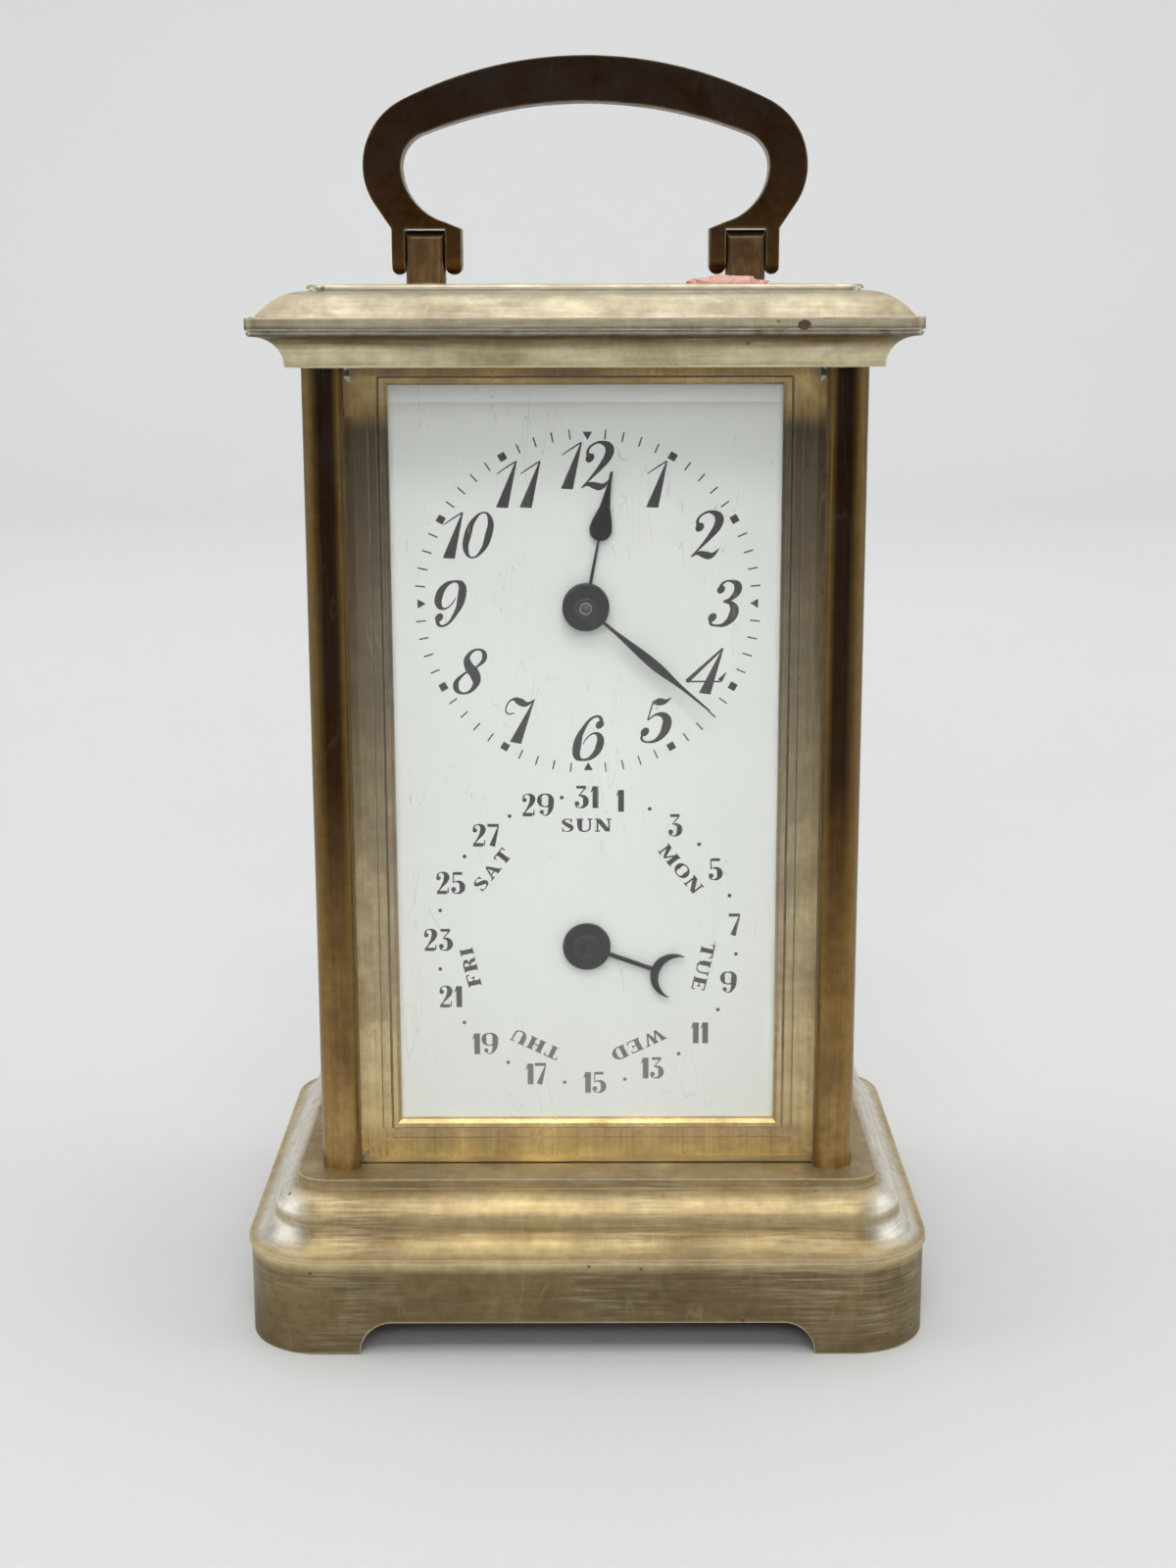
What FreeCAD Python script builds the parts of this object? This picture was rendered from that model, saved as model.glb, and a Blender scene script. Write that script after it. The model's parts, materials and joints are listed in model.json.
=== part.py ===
import FreeCAD, Part
import math
import os
import re
import Sketcher
from FreeCAD import Placement, Rotation, Vector

# A brass carriage clock: a glazed case on bracket feet with a folding handle, a time dial above
# a calendar dial, and a going train with a platform escapement behind them.
# Millimetres. The origin is the middle of the base's underside, +X is to the right of someone
# facing the dial, the dial faces -Y and +Z is up.

# ---------------------------------------------------------------- driving sizes
DIMENSIONS = (
    # base moulding
    ("base_width", 92.0, "base across the arris"),
    ("base_depth", 75.6, "base, front to back"),
    ("base_corner", 10.5, "corner radius of the apron"),
    ("apron_height", 13.6, "floor to arris"),
    ("arris_lip", 0.7, "height of the lip above the apron"),
    ("arris_inset", 0.35, "apron behind the lip"),
    ("ogee_radius", 3.65, "each half of the base ogee"),
    ("step_overhang", 3.2, "step beyond the columns"),
    ("step_height", 1.3, "edge of the step"),
    ("step_corner", 4.0, "corner radius of the step"),
    ("base_wall", 3.0, "casting wall"),
    ("deck_thickness", 3.0, "plate under the columns"),
    ("foot_length", 15.8, "foot along the floor from the corner"),
    ("foot_arch_height", 4.5, "clear height between the feet"),
    ("foot_arch_radius", 4.2, "round at each end of the arch"),
    # columns and glasses
    ("case_width", 72.0, "across the columns"),
    ("case_depth", 55.6, "columns, front to back"),
    ("column_width", 5.25, "column section"),
    ("column_round", 3.0, "rounded outer corner"),
    ("column_ease", 1.5, "rounded edges beside the glasses"),
    ("groove_depth", 1.1, "glass groove in a column"),
    ("groove_front", 2.4, "groove's near wall from the column face"),
    ("spigot_radius", 1.4, "spigot on a column, and its screw"),
    ("spigot_length", 3.0, "spigot into the lid"),
    ("glass_edge", 1.1, "glass at its edge"),
    ("glass_middle", 2.2, "glass inside the bevels"),
    ("glass_land", 1.1, "flat edge round the bevel"),
    ("glass_bevel", 3.2, "bevel width"),
    ("glass_fit", 0.1, "glass to its groove, each side"),
    # lid moulding
    ("lid_width", 84.0, "lid across the fillet band"),
    ("lid_depth", 67.6, "lid, front to back"),
    ("lid_corner", 2.0, "rounded corner of the band"),
    ("lid_foot", 0.25, "plain edge above the columns"),
    ("lid_cove", 3.65, "hollow moulding under the band"),
    ("lid_lip", 0.5, "round edge above the hollow"),
    ("lid_joint", 0.25, "fine groove under the band"),
    ("lid_reveal", 0.3, "band beyond the round edge"),
    ("lid_band", 1.5, "height of the band"),
    ("lid_arris", 0.35, "top edge of the band"),
    ("lid_quirk", 0.5, "depth of the groove behind that edge"),
    ("lid_ledge", 1.1, "band beyond the torus"),
    ("lid_torus_run", 6.0, "torus, across"),
    ("lid_torus_rise", 3.2, "torus, up"),
    ("lid_cavity_rise", 5.4, "hollow under the lid"),
    ("lid_cavity_wall", 8.0, "lid wall round the hollow, at the underside"),
    ("slab_width", 70.2, "raised slab on the lid"),
    ("slab_depth", 53.8, "raised slab, front to back"),
    ("slab_thickness", 0.75, "raised slab"),
    ("slab_joint", 0.2, "height of the recess under the slab's edge"),
    ("slab_recess", 0.4, "depth of that recess"),
    ("slab_bevel", 0.3, "bevel along the slab's top edge"),
    ("slab_corner", 2.5, "corner radius of the slab"),
    ("window_width", 29.0, "opening over the escapement"),
    ("window_depth", 26.0, "opening, front to back"),
    ("window_rebate", 1.6, "seat round the lid glass"),
    # handle and posts
    ("post_place", 21.65, "post from the middle"),
    ("post_width", 5.2, "post, from leg to leg"),
    ("post_depth", 4.6, "post, front to back"),
    ("post_edge", 0.7, "rounded edges of a post"),
    ("post_crown", 3.2, "top of a post, round about the pin"),
    ("post_shank_radius", 1.6, "shank in the lid"),
    ("post_shank_length", 6.0, "shank below the slab's top"),
    ("pivot_height", 3.95, "handle pin above the slab"),
    ("pin_radius", 1.0, "handle pin"),
    ("pin_fit", 0.05, "pin to post, radial"),
    ("handle_half_width", 29.8, "handle, middle to outside"),
    ("handle_waist", 15.45, "widest place above the slab"),
    ("handle_rise", 14.2, "widest place to the top"),
    ("handle_side_band", 5.1, "bar at the sides"),
    ("handle_top_band", 5.9, "bar at the top"),
    ("handle_side_round", 9.5, "round above the widest place"),
    ("handle_inner_round", 4.5, "that round inside the bar"),
    ("handle_shoulder", 9.0, "round below the widest place"),
    ("handle_yoke_height", 7.3, "fork floor above the slab"),
    ("handle_thickness", 4.6, "bar, front to back"),
    ("fork_inner_leg", 2.2, "leg nearer the middle"),
    ("fork_outer_leg", 1.75, "leg at the outside"),
    ("fork_gap", 0.12, "leg to post"),
    ("fork_drop", 2.7, "leg end below the pin"),
    # dial
    ("dial_depth", 9.35, "dial face behind the column fronts"),
    ("dial_thickness", 1.0, "dial plate"),
    ("dial_width", 51.2, "white field"),
    ("dial_low", 4.5, "white field above the deck"),
    ("dial_head", 3.55, "white field below the lid"),
    ("dial_lap", 1.0, "dial plate behind the mask"),
    ("mask_thickness", 0.6, "gilt mask"),
    ("mask_gap", 0.3, "mask to the columns and the lid"),
    ("mask_lip", 1.45, "raised border round the white field"),
    ("mask_lip_height", 0.8, "that border in front of the mask"),
    ("mask_lip_slope", 0.45, "slope on each side of the border"),
    ("dial_foot_radius", 1.2, "foot between dial and movement"),
    ("dial_foot_inset", 3.6, "foot from the plate's edge"),
    ("time_drop", 19.1, "time dial's middle below the plates' top"),
    ("dial_spacing", 46.5, "time dial's middle to the calendar's"),
    # hands
    ("hour_hand_length", 18.0, "middle to tip"),
    ("hour_hand_hub", 3.1, "hub radius"),
    ("hour_bulb_place", 10.3, "middle to bulb"),
    ("hour_bulb_radius", 1.5, "bulb"),
    ("minute_hand_length", 21.4, "middle to tip"),
    ("minute_hand_hub", 1.3, "hub radius"),
    ("minute_leaf_place", 12.6, "middle to the widest place"),
    ("minute_leaf_width", 1.3, "leaf"),
    ("hand_stem", 0.28, "thin parts of the hands"),
    ("hand_thickness", 0.4, "hands"),
    ("calendar_hub", 3.25, "hub radius"),
    ("calendar_crescent_place", 12.45, "middle to the crescent's middle"),
    ("calendar_crescent_radius", 3.1, "crescent"),
    ("calendar_crescent_shift", 1.15, "crescent's inner round, further out"),
    ("hour_hand_angle", 10.9, "degrees clockwise from twelve"),
    ("minute_hand_angle", 130.1, "degrees clockwise from twelve"),
    ("calendar_hand_angle", 109.8, "degrees clockwise from the top"),
    ("hour_hand_lift", 0.55, "hour hand in front of the dial"),
    ("minute_hand_lift", 1.75, "minute hand in front of the dial"),
    ("collet_length", 1.0, "boss in front of a hand"),
    # movement frame
    ("plate_front", 12.0, "front plate's face ahead of the middle"),
    ("plate_rear", 14.0, "rear plate's face behind the middle"),
    ("plate_thickness", 2.0, "movement plates"),
    ("plate_width", 50.0, "movement plates"),
    ("plate_height", 94.8, "movement plates"),
    ("plate_clearance", 12.25, "movement plates to the lid"),
    ("plate_screw_inset", 4.5, "screw under a plate from its edge"),
    ("screw_reach", 5.0, "those screws into the plate"),
    ("pillar_radius", 2.4, "pillars between the plates"),
    ("pillar_inset", 4.2, "pillar from the plate's edge"),
    ("pillar_low", 8.5, "lower pillars above the deck"),
    ("pillar_drop", 4.5, "upper pillars below the plates' top"),
    ("screw_radius", 1.1, "pillar and movement screws"),
    ("screw_head_radius", 2.1, "their heads"),
    ("screw_head", 1.3, "height of their heads"),
    # teeth
    ("wheel_addendum", 0.9, "tooth above the pitch line, in modules"),
    ("wheel_dedendum", 1.25, "tooth below the pitch line, in modules"),
    ("wheel_root_share", 0.8, "tooth's foot, share of the pitch"),
    ("wheel_tip_share", 0.3, "tooth's tip, share of the pitch"),
    ("leaf_addendum", 0.6, "leaf above the pitch line, in modules"),
    ("leaf_dedendum", 1.25, "leaf below the pitch line, in modules"),
    ("leaf_root_share", 0.45, "leaf's foot, share of the pitch"),
    ("leaf_tip_share", 0.25, "leaf's tip, share of the pitch"),
    # going train
    ("great_teeth", 60, "great wheel on the barrel"),
    ("great_module", 0.6, "great wheel"),
    ("inter_leaves", 8, "intermediate pinion"),
    ("inter_teeth", 48, "intermediate wheel"),
    ("inter_module", 0.52, "intermediate wheel"),
    ("inter_bearing", -123.0, "direction from the centre, degrees"),
    ("centre_leaves", 8, "centre pinion"),
    ("centre_teeth", 48, "centre wheel"),
    ("centre_module", 0.48, "centre wheel"),
    ("third_leaves", 6, "third pinion"),
    ("third_teeth", 45, "third wheel"),
    ("third_module", 0.45, "third wheel"),
    ("third_bearing", -21.0, "direction from the centre, degrees"),
    ("contrate_leaves", 6, "contrate pinion"),
    ("contrate_teeth", 48, "contrate wheel"),
    ("contrate_module", 0.375, "contrate wheel"),
    ("contrate_bearing", 95.0, "direction from the third arbor, degrees"),
    ("escape_leaves", 6, "escape pinion"),
    ("wheel_thickness", 1.0, "train wheels"),
    ("arbor_radius", 0.8, "train arbors"),
    ("pivot_radius", 0.5, "pivots in the plates"),
    ("pivot_fit", 0.04, "pivot to hole, radial"),
    ("end_shake", 0.15, "arbor shoulder to plate"),
    ("spoke_width", 1.5, "spokes of the train wheels"),
    ("hub_radius", 3.0, "middle of the train wheels"),
    ("collet_radius", 1.7, "collet behind a train wheel"),
    ("collet_thickness", 0.8, "collet behind a train wheel"),
    ("pinion_lap", 0.5, "pinion beyond its wheel, each side"),
    ("inter_wheel_place", -9.2, "front of the intermediate wheel"),
    ("centre_wheel_place", -3.0, "front of the centre wheel"),
    ("third_wheel_place", 3.5, "front of the third wheel"),
    ("centre_pipe_wall", 0.8, "pipe of the centre wheel"),
    # centre arbor and winding
    ("centre_arbor_radius", 1.1, "arbor that carries the hands"),
    ("cannon_bore", 0.8, "front end of that arbor"),
    ("square_width", 2.6, "winding square"),
    ("setting_width", 1.5, "setting square"),
    ("square_length", 4.5, "squares behind the rear plate"),
    ("barrel_radius", 15.4, "barrel drum"),
    ("barrel_wall", 0.8, "barrel drum"),
    ("barrel_front", 6.5, "drum's front, ahead of the middle"),
    ("barrel_back", 7.5, "drum's back, behind the middle"),
    ("barrel_arbor_radius", 2.0, "barrel arbor"),
    ("barrel_core_radius", 4.0, "arbor inside the barrel"),
    ("barrel_core_play", 0.2, "arbor's core to the barrel's ends"),
    ("mainspring_blade", 0.45, "mainspring"),
    ("mainspring_turns", 5, "mainspring"),
    ("mainspring_play", 0.35, "mainspring to the core, the drum and its ends"),
    ("great_thickness", 1.5, "great wheel"),
    ("ratchet_teeth", 20, "ratchet on the barrel arbor"),
    ("ratchet_radius", 7.0, "ratchet's tips"),
    ("ratchet_tooth", 0.9, "depth of its teeth"),
    ("ratchet_thickness", 1.2, "ratchet"),
    ("click_fit", 0.15, "click to the ratchet's tips"),
    ("click_length", 9.0, "click's pivot to its nose"),
    ("nose_drop", 1.0, "click's nose, pointed"),
    ("spring_foot", 7.0, "click spring's foot from the click's pivot"),
    # motion work and calendar train, between the front plate and the dial
    ("cannon_teeth", 12, "pinion on the cannon"),
    ("minute_teeth", 36, "minute wheel"),
    ("motion_module", 0.3, "cannon to minute wheel"),
    ("minute_leaves", 9, "pinion on the minute wheel"),
    ("hour_teeth", 36, "hour wheel"),
    ("minute_bearing", 62.0, "direction from the centre, degrees"),
    ("hour_leaves", 8, "pinion on the hour pipe"),
    ("idler_teeth", 62, "calendar idler"),
    ("idler_module", 0.68, "hour pinion to idler"),
    ("idler_leaves", 6, "pinion on the idler"),
    ("calendar_teeth", 48, "calendar wheel"),
    ("layer_thickness", 0.8, "wheels under the dial"),
    ("layer_gap", 0.35, "between those wheels"),
    ("stud_radius", 1.0, "studs on the front plate"),
    ("running_fit", 0.05, "pipe to arbor, radial"),
    ("cannon_wall", 0.5, "cannon pipe"),
    ("hour_wall", 0.45, "hour pipe"),
    ("dial_hole_fit", 0.35, "pipe to the dial's hole"),
    # platform escapement
    ("platform_width", 44.0, "platform"),
    ("platform_front", 12.0, "platform ahead of the middle"),
    ("platform_back", 14.0, "platform behind the middle"),
    ("platform_thickness", 1.5, "platform"),
    ("crown_back", 8.4, "back of the contrate wheel"),
    ("crown_depth", 2.4, "contrate wheel, with its teeth"),
    ("crown_rim", 1.1, "contrate rim, across"),
    ("crown_web", 0.8, "contrate wheel behind its rim"),
    ("escape_pinion_length", 1.6, "escape pinion"),
    ("potence_leg", 2.2, "escape arbor to the potence's leg"),
    ("potence_width", 1.6, "potence leg"),
    ("potence_depth", 1.3, "potence, front to back"),
    ("potence_arm", 1.0, "potence arm"),
    ("potence_drop", 6.1, "potence below the platform"),
    ("platform_hole", 1.8, "hole for the escape pinion"),
    ("escape_radius", 4.5, "escape wheel's tips"),
    ("escape_tooth", 1.1, "depth of its teeth"),
    ("escape_teeth", 15, "escape wheel"),
    ("escape_thickness", 0.4, "escape wheel"),
    ("escape_lift", 0.8, "escape wheel above the platform"),
    ("lever_place", 5.6, "escape arbor to the lever's"),
    ("balance_place", 13.0, "escape arbor to the balance staff"),
    ("platform_bearing", 200.0, "direction of the lever, degrees"),
    ("lever_thickness", 0.6, "lever"),
    ("balance_radius", 7.5, "balance rim"),
    ("balance_rim", 0.9, "balance rim, across and deep"),
    ("balance_lift", 2.8, "balance above the platform"),
    ("staff_radius", 0.5, "balance staff"),
    ("spring_lift", 4.2, "hairspring above the platform"),
    ("spring_height", 0.45, "hairspring blade"),
    ("spring_blade", 0.16, "hairspring blade"),
    ("spring_turns", 4, "hairspring"),
    ("spring_inner", 1.15, "hairspring's first turn"),
    ("spring_outer", 4.3, "hairspring's last turn"),
    ("cock_lift", 5.3, "balance cock above the platform"),
    ("cock_thickness", 1.2, "balance cock"),
    ("cock_width", 4.0, "balance cock"),
    ("foot_size", 4.0, "feet of the cock and of the bridge"),
    ("foot_gap", 1.2, "those feet to the wheels inside them"),
    ("roller_radius", 1.6, "roller on the balance staff"),
    ("roller_lift", 1.7, "roller above the platform"),
    ("roller_thickness", 0.3, "roller"),
    ("impulse_place", 1.25, "impulse pin from the staff"),
    ("impulse_radius", 0.2, "impulse pin"),
    ("impulse_drop", 0.25, "impulse pin below the roller"),
    ("bridge_lift", 1.85, "escape bridge above the platform"),
    ("bridge_thickness", 0.6, "escape bridge"),
    # rear door
    ("door_gap", 0.3, "door to the columns, the deck and the lid"),
    ("door_thickness", 3.0, "door frame"),
    ("door_set_back", 0.6, "door behind the column backs"),
    ("door_border", 4.5, "door frame"),
    ("door_rebate", 1.1, "seat round the door glass"),
    ("hinge_pin_radius", 0.9, "pivots turned on the door frame"),
    ("hinge_pin_reach", 2.5, "pivots into the deck and the lid"),
    ("knob_radius", 2.3, "door knob"),
    ("knob_reach", 5.5, "knob behind the door"),
)

# Sizes that follow from the driving ones, as expressions.
DERIVED = {
    "deck_top": "apron_height + 2 * ogee_radius + step_height",
    "step_width": "case_width + 2 * step_overhang",
    "step_depth": "case_depth + 2 * step_overhang",
    "column_height": "plate_height + plate_clearance",
    "pillar_high": "plate_height - pillar_drop",
    "lid_low": "deck_top + column_height",
    "cove_low": "lid_low + lid_foot",
    "lip_low": "cove_low + lid_cove",
    "lip_high": "lip_low + lid_lip",
    "band_low": "lip_high + lid_joint",
    "band_high": "band_low + lid_band",
    "lid_high": "band_high + lid_torus_rise",
    "slab_high": "lid_high + slab_thickness",
    "lid_inset": "lid_reveal + lid_lip + lid_cove",
    "lid_torus_radius": "(lid_torus_run ^ 2 + lid_torus_rise ^ 2) / (2 * lid_torus_rise)",
    "pivot_z": "slab_high + pivot_height",
    "post_height": "pivot_height + post_crown",
    "opening_half": "case_width / 2 - column_width",
    "dial_face": "-(case_depth / 2 - dial_depth)",
    "dial_back": "dial_face + dial_thickness",
    "field_low": "deck_top + dial_low",
    "field_high": "lid_low - dial_head",
    "platform_z": "deck_top + plate_height",
    "time_z": "platform_z - time_drop",
    "calendar_z": "time_z - dial_spacing",
    "great_distance": "great_module * (great_teeth + inter_leaves) / 2",
    "inter_distance": "inter_module * (inter_teeth + centre_leaves) / 2",
    "third_distance": "centre_module * (centre_teeth + third_leaves) / 2",
    "contrate_distance": "third_module * (third_teeth + contrate_leaves) / 2",
    "inter_x": "inter_distance * cos(inter_bearing)",
    "inter_z": "time_z + inter_distance * sin(inter_bearing)",
    "barrel_z": "inter_z - sqrt(great_distance ^ 2 - inter_x ^ 2)",
    "third_x": "third_distance * cos(third_bearing)",
    "third_z": "time_z + third_distance * sin(third_bearing)",
    "contrate_x": "third_x + contrate_distance * cos(contrate_bearing)",
    "contrate_z": "third_z + contrate_distance * sin(contrate_bearing)",
    "minute_distance": "motion_module * (cannon_teeth + minute_teeth) / 2",
    "hour_module": "2 * minute_distance / (minute_leaves + hour_teeth)",
    "minute_x": "minute_distance * cos(minute_bearing)",
    "minute_z": "time_z + minute_distance * sin(minute_bearing)",
    "idler_z": "time_z - idler_module * (idler_teeth + hour_leaves) / 2",
    "calendar_module": "2 * (idler_z - calendar_z) / (idler_leaves + calendar_teeth)",
    "platform_top": "platform_z + platform_thickness",
    "crown_radius": "contrate_module * contrate_teeth / 2",
    "crown_tip": "crown_back - crown_depth",
    "crown_pitch": "crown_tip + wheel_addendum * contrate_module",
    "escape_x": "contrate_x",
    "escape_y": "crown_pitch - contrate_module * escape_leaves / 2",
    "lever_x": "escape_x + lever_place * cos(platform_bearing)",
    "lever_y": "escape_y + lever_place * sin(platform_bearing)",
    "balance_x": "escape_x + balance_place * cos(platform_bearing)",
    "balance_y": "escape_y + balance_place * sin(platform_bearing)",
    "cannon_radius": "cannon_bore + cannon_wall",
    "hour_bore": "cannon_radius + running_fit",
    "hour_radius": "hour_bore + hour_wall",
    "door_outer": "case_depth / 2 - door_set_back",
    "door_half_depth": "door_thickness / 2",
    "hinge_x": "opening_half - door_gap - door_half_depth",
    "hinge_y": "door_outer - door_half_depth",
    "layer_pitch": "layer_thickness + layer_gap",
    "first_layer": "-plate_front - layer_pitch",
    "second_layer": "first_layer - layer_pitch",
    "third_layer": "second_layer - layer_pitch",
    "fourth_layer": "third_layer - layer_pitch",
    "front_inner": "-plate_front + plate_thickness",
    "rear_inner": "plate_rear - plate_thickness",
    "hour_hand_back": "dial_face - hour_hand_lift",
    "hour_hand_front": "hour_hand_back - hand_thickness",
    "minute_hand_back": "dial_face - minute_hand_lift",
    "minute_hand_front": "minute_hand_back - collet_length",
    "calendar_hand_front": "hour_hand_back - collet_length",
    "ratchet_front": "plate_rear + end_shake",
    "ratchet_back": "ratchet_front + ratchet_thickness",
    "square_end": "plate_rear + square_length",
    "screw_tip_radius": "plate_thickness / 4",
    "click_x": "ratchet_radius + click_fit",
    "click_z": "barrel_z + click_length",
    "escape_z": "platform_top + escape_lift",
    "lever_z": "escape_z + escape_thickness / 2 - lever_thickness / 2",
    "crown_mesh_z": "contrate_z + crown_radius",
    "door_low": "deck_top + door_gap",
    "door_high": "lid_low - door_gap",
}
FUNCTIONS = ("sqrt", "cos", "sin")
COIL_STEPS = 14
BULB_STEPS = 4
INTER_SPOKES = 5
CENTRE_SPOKES = 4
SAW_SLOPE = 0.25
SAW_LAND = 0.12

# The bar's inner curve into the fork, as shares of handle_shoulder in from and down from the waist.
INSTEP = ((0.23, 0.56), (0.62, 0.8))

# Half widths of the hands beyond their widest place, as (share of the way to the tip, share of the width).
HOUR_TAPER = ((0.14, 0.88), (0.4, 0.44), (0.77, 0.17), (1, 0.11))
MINUTE_WAIST = 0.78
MINUTE_TAPER = ((-0.18, 0.55), (0, 1), (0.1, 0.85), (0.43, 0.3), (1, 0.15))

# One side of the lever from the escape arbor: the pallets in lever_place, the fork in balance_place.
PALLETS = ((0.884, 0), (0.884, 0.107), (0.843, 0.33), (0.777, 0.384), (0.72, 0.482), (0.848, 0.557),
           (0.955, 0.473), (1.071, 0.161))
FORK = ((0.492, 0.027), (0.869, 0.027), (0.869, 0.069), (0.923, 0.069), (0.923, 0.025), (0.885, 0.025))

DOC = FreeCAD.newDocument("CarriageClock")
SHEET = DOC.addObject("Spreadsheet::Sheet", "Sizes")
PIECES = []


# ---------------------------------------------------------------- sheet and expressions
def fill_sheet():
    for row, (alias, value, meaning) in enumerate(DIMENSIONS, start=1):
        SHEET.set(f"A{row}", alias)
        SHEET.set(f"B{row}", str(value))
        SHEET.set(f"C{row}", meaning)
        SHEET.setAlias(f"B{row}", alias)
    DOC.recompute()


def expand(expression):
    """The expression with every derived name worked out and every alias pointing at the sheet."""
    def swap(match):
        name = match.group(0)
        if name in FUNCTIONS:
            return name
        if name in DERIVED:
            return f"({expand(DERIVED[name])})"
        return f"Sizes.{name}"
    return re.sub(r"[a-z][a-z_]*", swap, str(expression))


def size(expression):
    return float(SHEET.evalExpression(expand(expression)))


def bind(thing, name, expression):
    thing.setExpression(name, expand(expression))


def put(thing, x="0", y="0", z="0"):
    bind(thing, "Placement.Base.x", x)
    bind(thing, "Placement.Base.y", y)
    bind(thing, "Placement.Base.z", z)
    return thing


# ---------------------------------------------------------------- sketches
def draw_arc(start, end, radius, turn):
    """An arc from start to end, bending left or right, and which of its ends comes first."""
    chord = end - start
    half = chord.Length / 2
    side = 1 if turn == "left" else -1
    across = Vector(-chord.y, chord.x, 0) * (side / chord.Length)
    centre = start + chord / 2 + across * math.sqrt(max(radius ** 2 - half ** 2, 0))
    first = math.atan2(start.y - centre.y, start.x - centre.x)
    last = math.atan2(end.y - centre.y, end.x - centre.x)
    if turn == "right":
        first, last = last, first
    if last < first:
        last += 2 * math.pi
    circle = Part.Circle(centre, Vector(0, 0, 1), radius)
    return Part.ArcOfCircle(circle, first, last), (1, 2) if turn == "left" else (2, 1)


def hold_point(sketch, geometry, position, x, y):
    for kind, axis, value in (("DistanceX", -2, x), ("DistanceY", -1, y)):
        if value == "0":
            sketch.addConstraint(Sketcher.Constraint("PointOnObject", geometry, position, axis))
            continue
        rule = Sketcher.Constraint(kind, -1, 1, geometry, position, size(value))
        bind(sketch, f"Constraints[{sketch.addConstraint(rule)}]", value)


def hold_radius(sketch, geometry, radius):
    rule = Sketcher.Constraint("Radius", geometry, size(radius))
    bind(sketch, f"Constraints[{sketch.addConstraint(rule)}]", radius)


def draw_outline(sketch, corners):
    """A closed outline. A corner is (x, y), or (x, y, radius, turn) where an arc leaves it."""
    spots = [Vector(size(corner[0]), size(corner[1]), 0) for corner in corners]
    edges = []
    for index, corner in enumerate(corners):
        start, end = spots[index], spots[(index + 1) % len(spots)]
        if len(corner) == 2:
            edges.append((sketch.addGeometry(Part.LineSegment(start, end), False), (1, 2)))
        else:
            arc, order = draw_arc(start, end, size(corner[2]), corner[3])
            edges.append((sketch.addGeometry(arc, False), order))
    for index, corner in enumerate(corners):
        edge, order = edges[index]
        after, after_order = edges[(index + 1) % len(edges)]
        rule = Sketcher.Constraint("Coincident", edge, order[1], after, after_order[0])
        sketch.addConstraint(rule)
        hold_point(sketch, edge, order[0], corner[0], corner[1])
        if len(corner) > 2:
            hold_radius(sketch, edge, corner[2])
    return sketch


def draw_circle(sketch, x, y, radius):
    circle = Part.Circle(Vector(size(x), size(y), 0), Vector(0, 0, 1), size(radius))
    geometry = sketch.addGeometry(circle, False)
    hold_point(sketch, geometry, 3, x, y)
    hold_radius(sketch, geometry, radius)
    return sketch


def rectangle(half_x, low, high):
    return ((f"-({half_x})", low), (half_x, low), (half_x, high), (f"-({half_x})", high))


def rounded_rectangle(width, depth, corner):
    """Corners of a rounded rectangle about the origin, with a point in the middle of its right side."""
    x, y = f"({width}) / 2", f"({depth}) / 2"
    inner_x, inner_y = f"{x} - ({corner})", f"{y} - ({corner})"
    return (
        (x, "0"),
        (x, inner_y, corner, "left"),
        (inner_x, y),
        (f"-({inner_x})", y, corner, "left"),
        (f"-({x})", inner_y),
        (f"-({x})", f"-({inner_y})", corner, "left"),
        (f"-({inner_x})", f"-({y})"),
        (inner_x, f"-({y})", corner, "left"),
        (x, f"-({inner_y})"),
    )


def mirrored(right_side):
    """A closed outline from its right side, listed from the bottom up."""
    outline = list(right_side)
    points = list(reversed(right_side))
    for index, corner in enumerate(points):
        before = points[index + 1] if index + 1 < len(points) else None
        arc = before[2:] if before is not None and len(before) > 2 else ()
        outline.append((f"-({corner[0]})", corner[1]) + tuple(arc))
    return tuple(outline)


# ---------------------------------------------------------------- features
def new_body(label):
    body = DOC.addObject("PartDesign::Body", label)
    body.Label = label
    return body


def keep(piece, label=None):
    if label is not None:
        piece.Label = label
    PIECES.append(piece)
    return piece


def sketch_on(body, plane, offset="0"):
    sketch = body.newObject("Sketcher::SketchObject", f"{body.Name}_sketch")
    support = [item for item in body.Origin.OriginFeatures if item.Role == plane][0]
    sketch.AttachmentSupport = [(support, "")]
    sketch.MapMode = "FlatFace"
    if offset != "0":
        bind(sketch, "AttachmentOffset.Base.z", offset)
    return sketch


def pad(body, sketch, length, reverse=False, middle=False):
    feature = body.newObject("PartDesign::Pad", f"{body.Name}_pad")
    feature.Profile = sketch
    feature.Reversed = reverse
    feature.SideType = "Symmetric" if middle else "One side"
    bind(feature, "Length", length)
    return feature


def pocket(body, sketch, length, reverse=False, middle=False):
    feature = body.newObject("PartDesign::Pocket", f"{body.Name}_pocket")
    feature.Profile = sketch
    feature.Reversed = reverse
    feature.SideType = "Symmetric" if middle else "One side"
    bind(feature, "Length", length)
    return feature


def loft(body, start, end, kind="PartDesign::AdditiveLoft"):
    feature = body.newObject(kind, f"{body.Name}_loft")
    feature.Profile = start
    feature.Sections = [end]
    feature.Ruled = True
    return feature


def revolve(body, sketch, axis):
    feature = body.newObject("PartDesign::Revolution", f"{body.Name}_revolution")
    feature.Profile = sketch
    feature.ReferenceAxis = (sketch, [axis])
    feature.Angle = 360
    return feature


def box(x, y, z, length, width, height):
    solid = DOC.addObject("Part::Box", "Block")
    for name, value in (("Length", length), ("Width", width), ("Height", height)):
        bind(solid, name, value)
    return put(solid, x, y, z)


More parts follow.
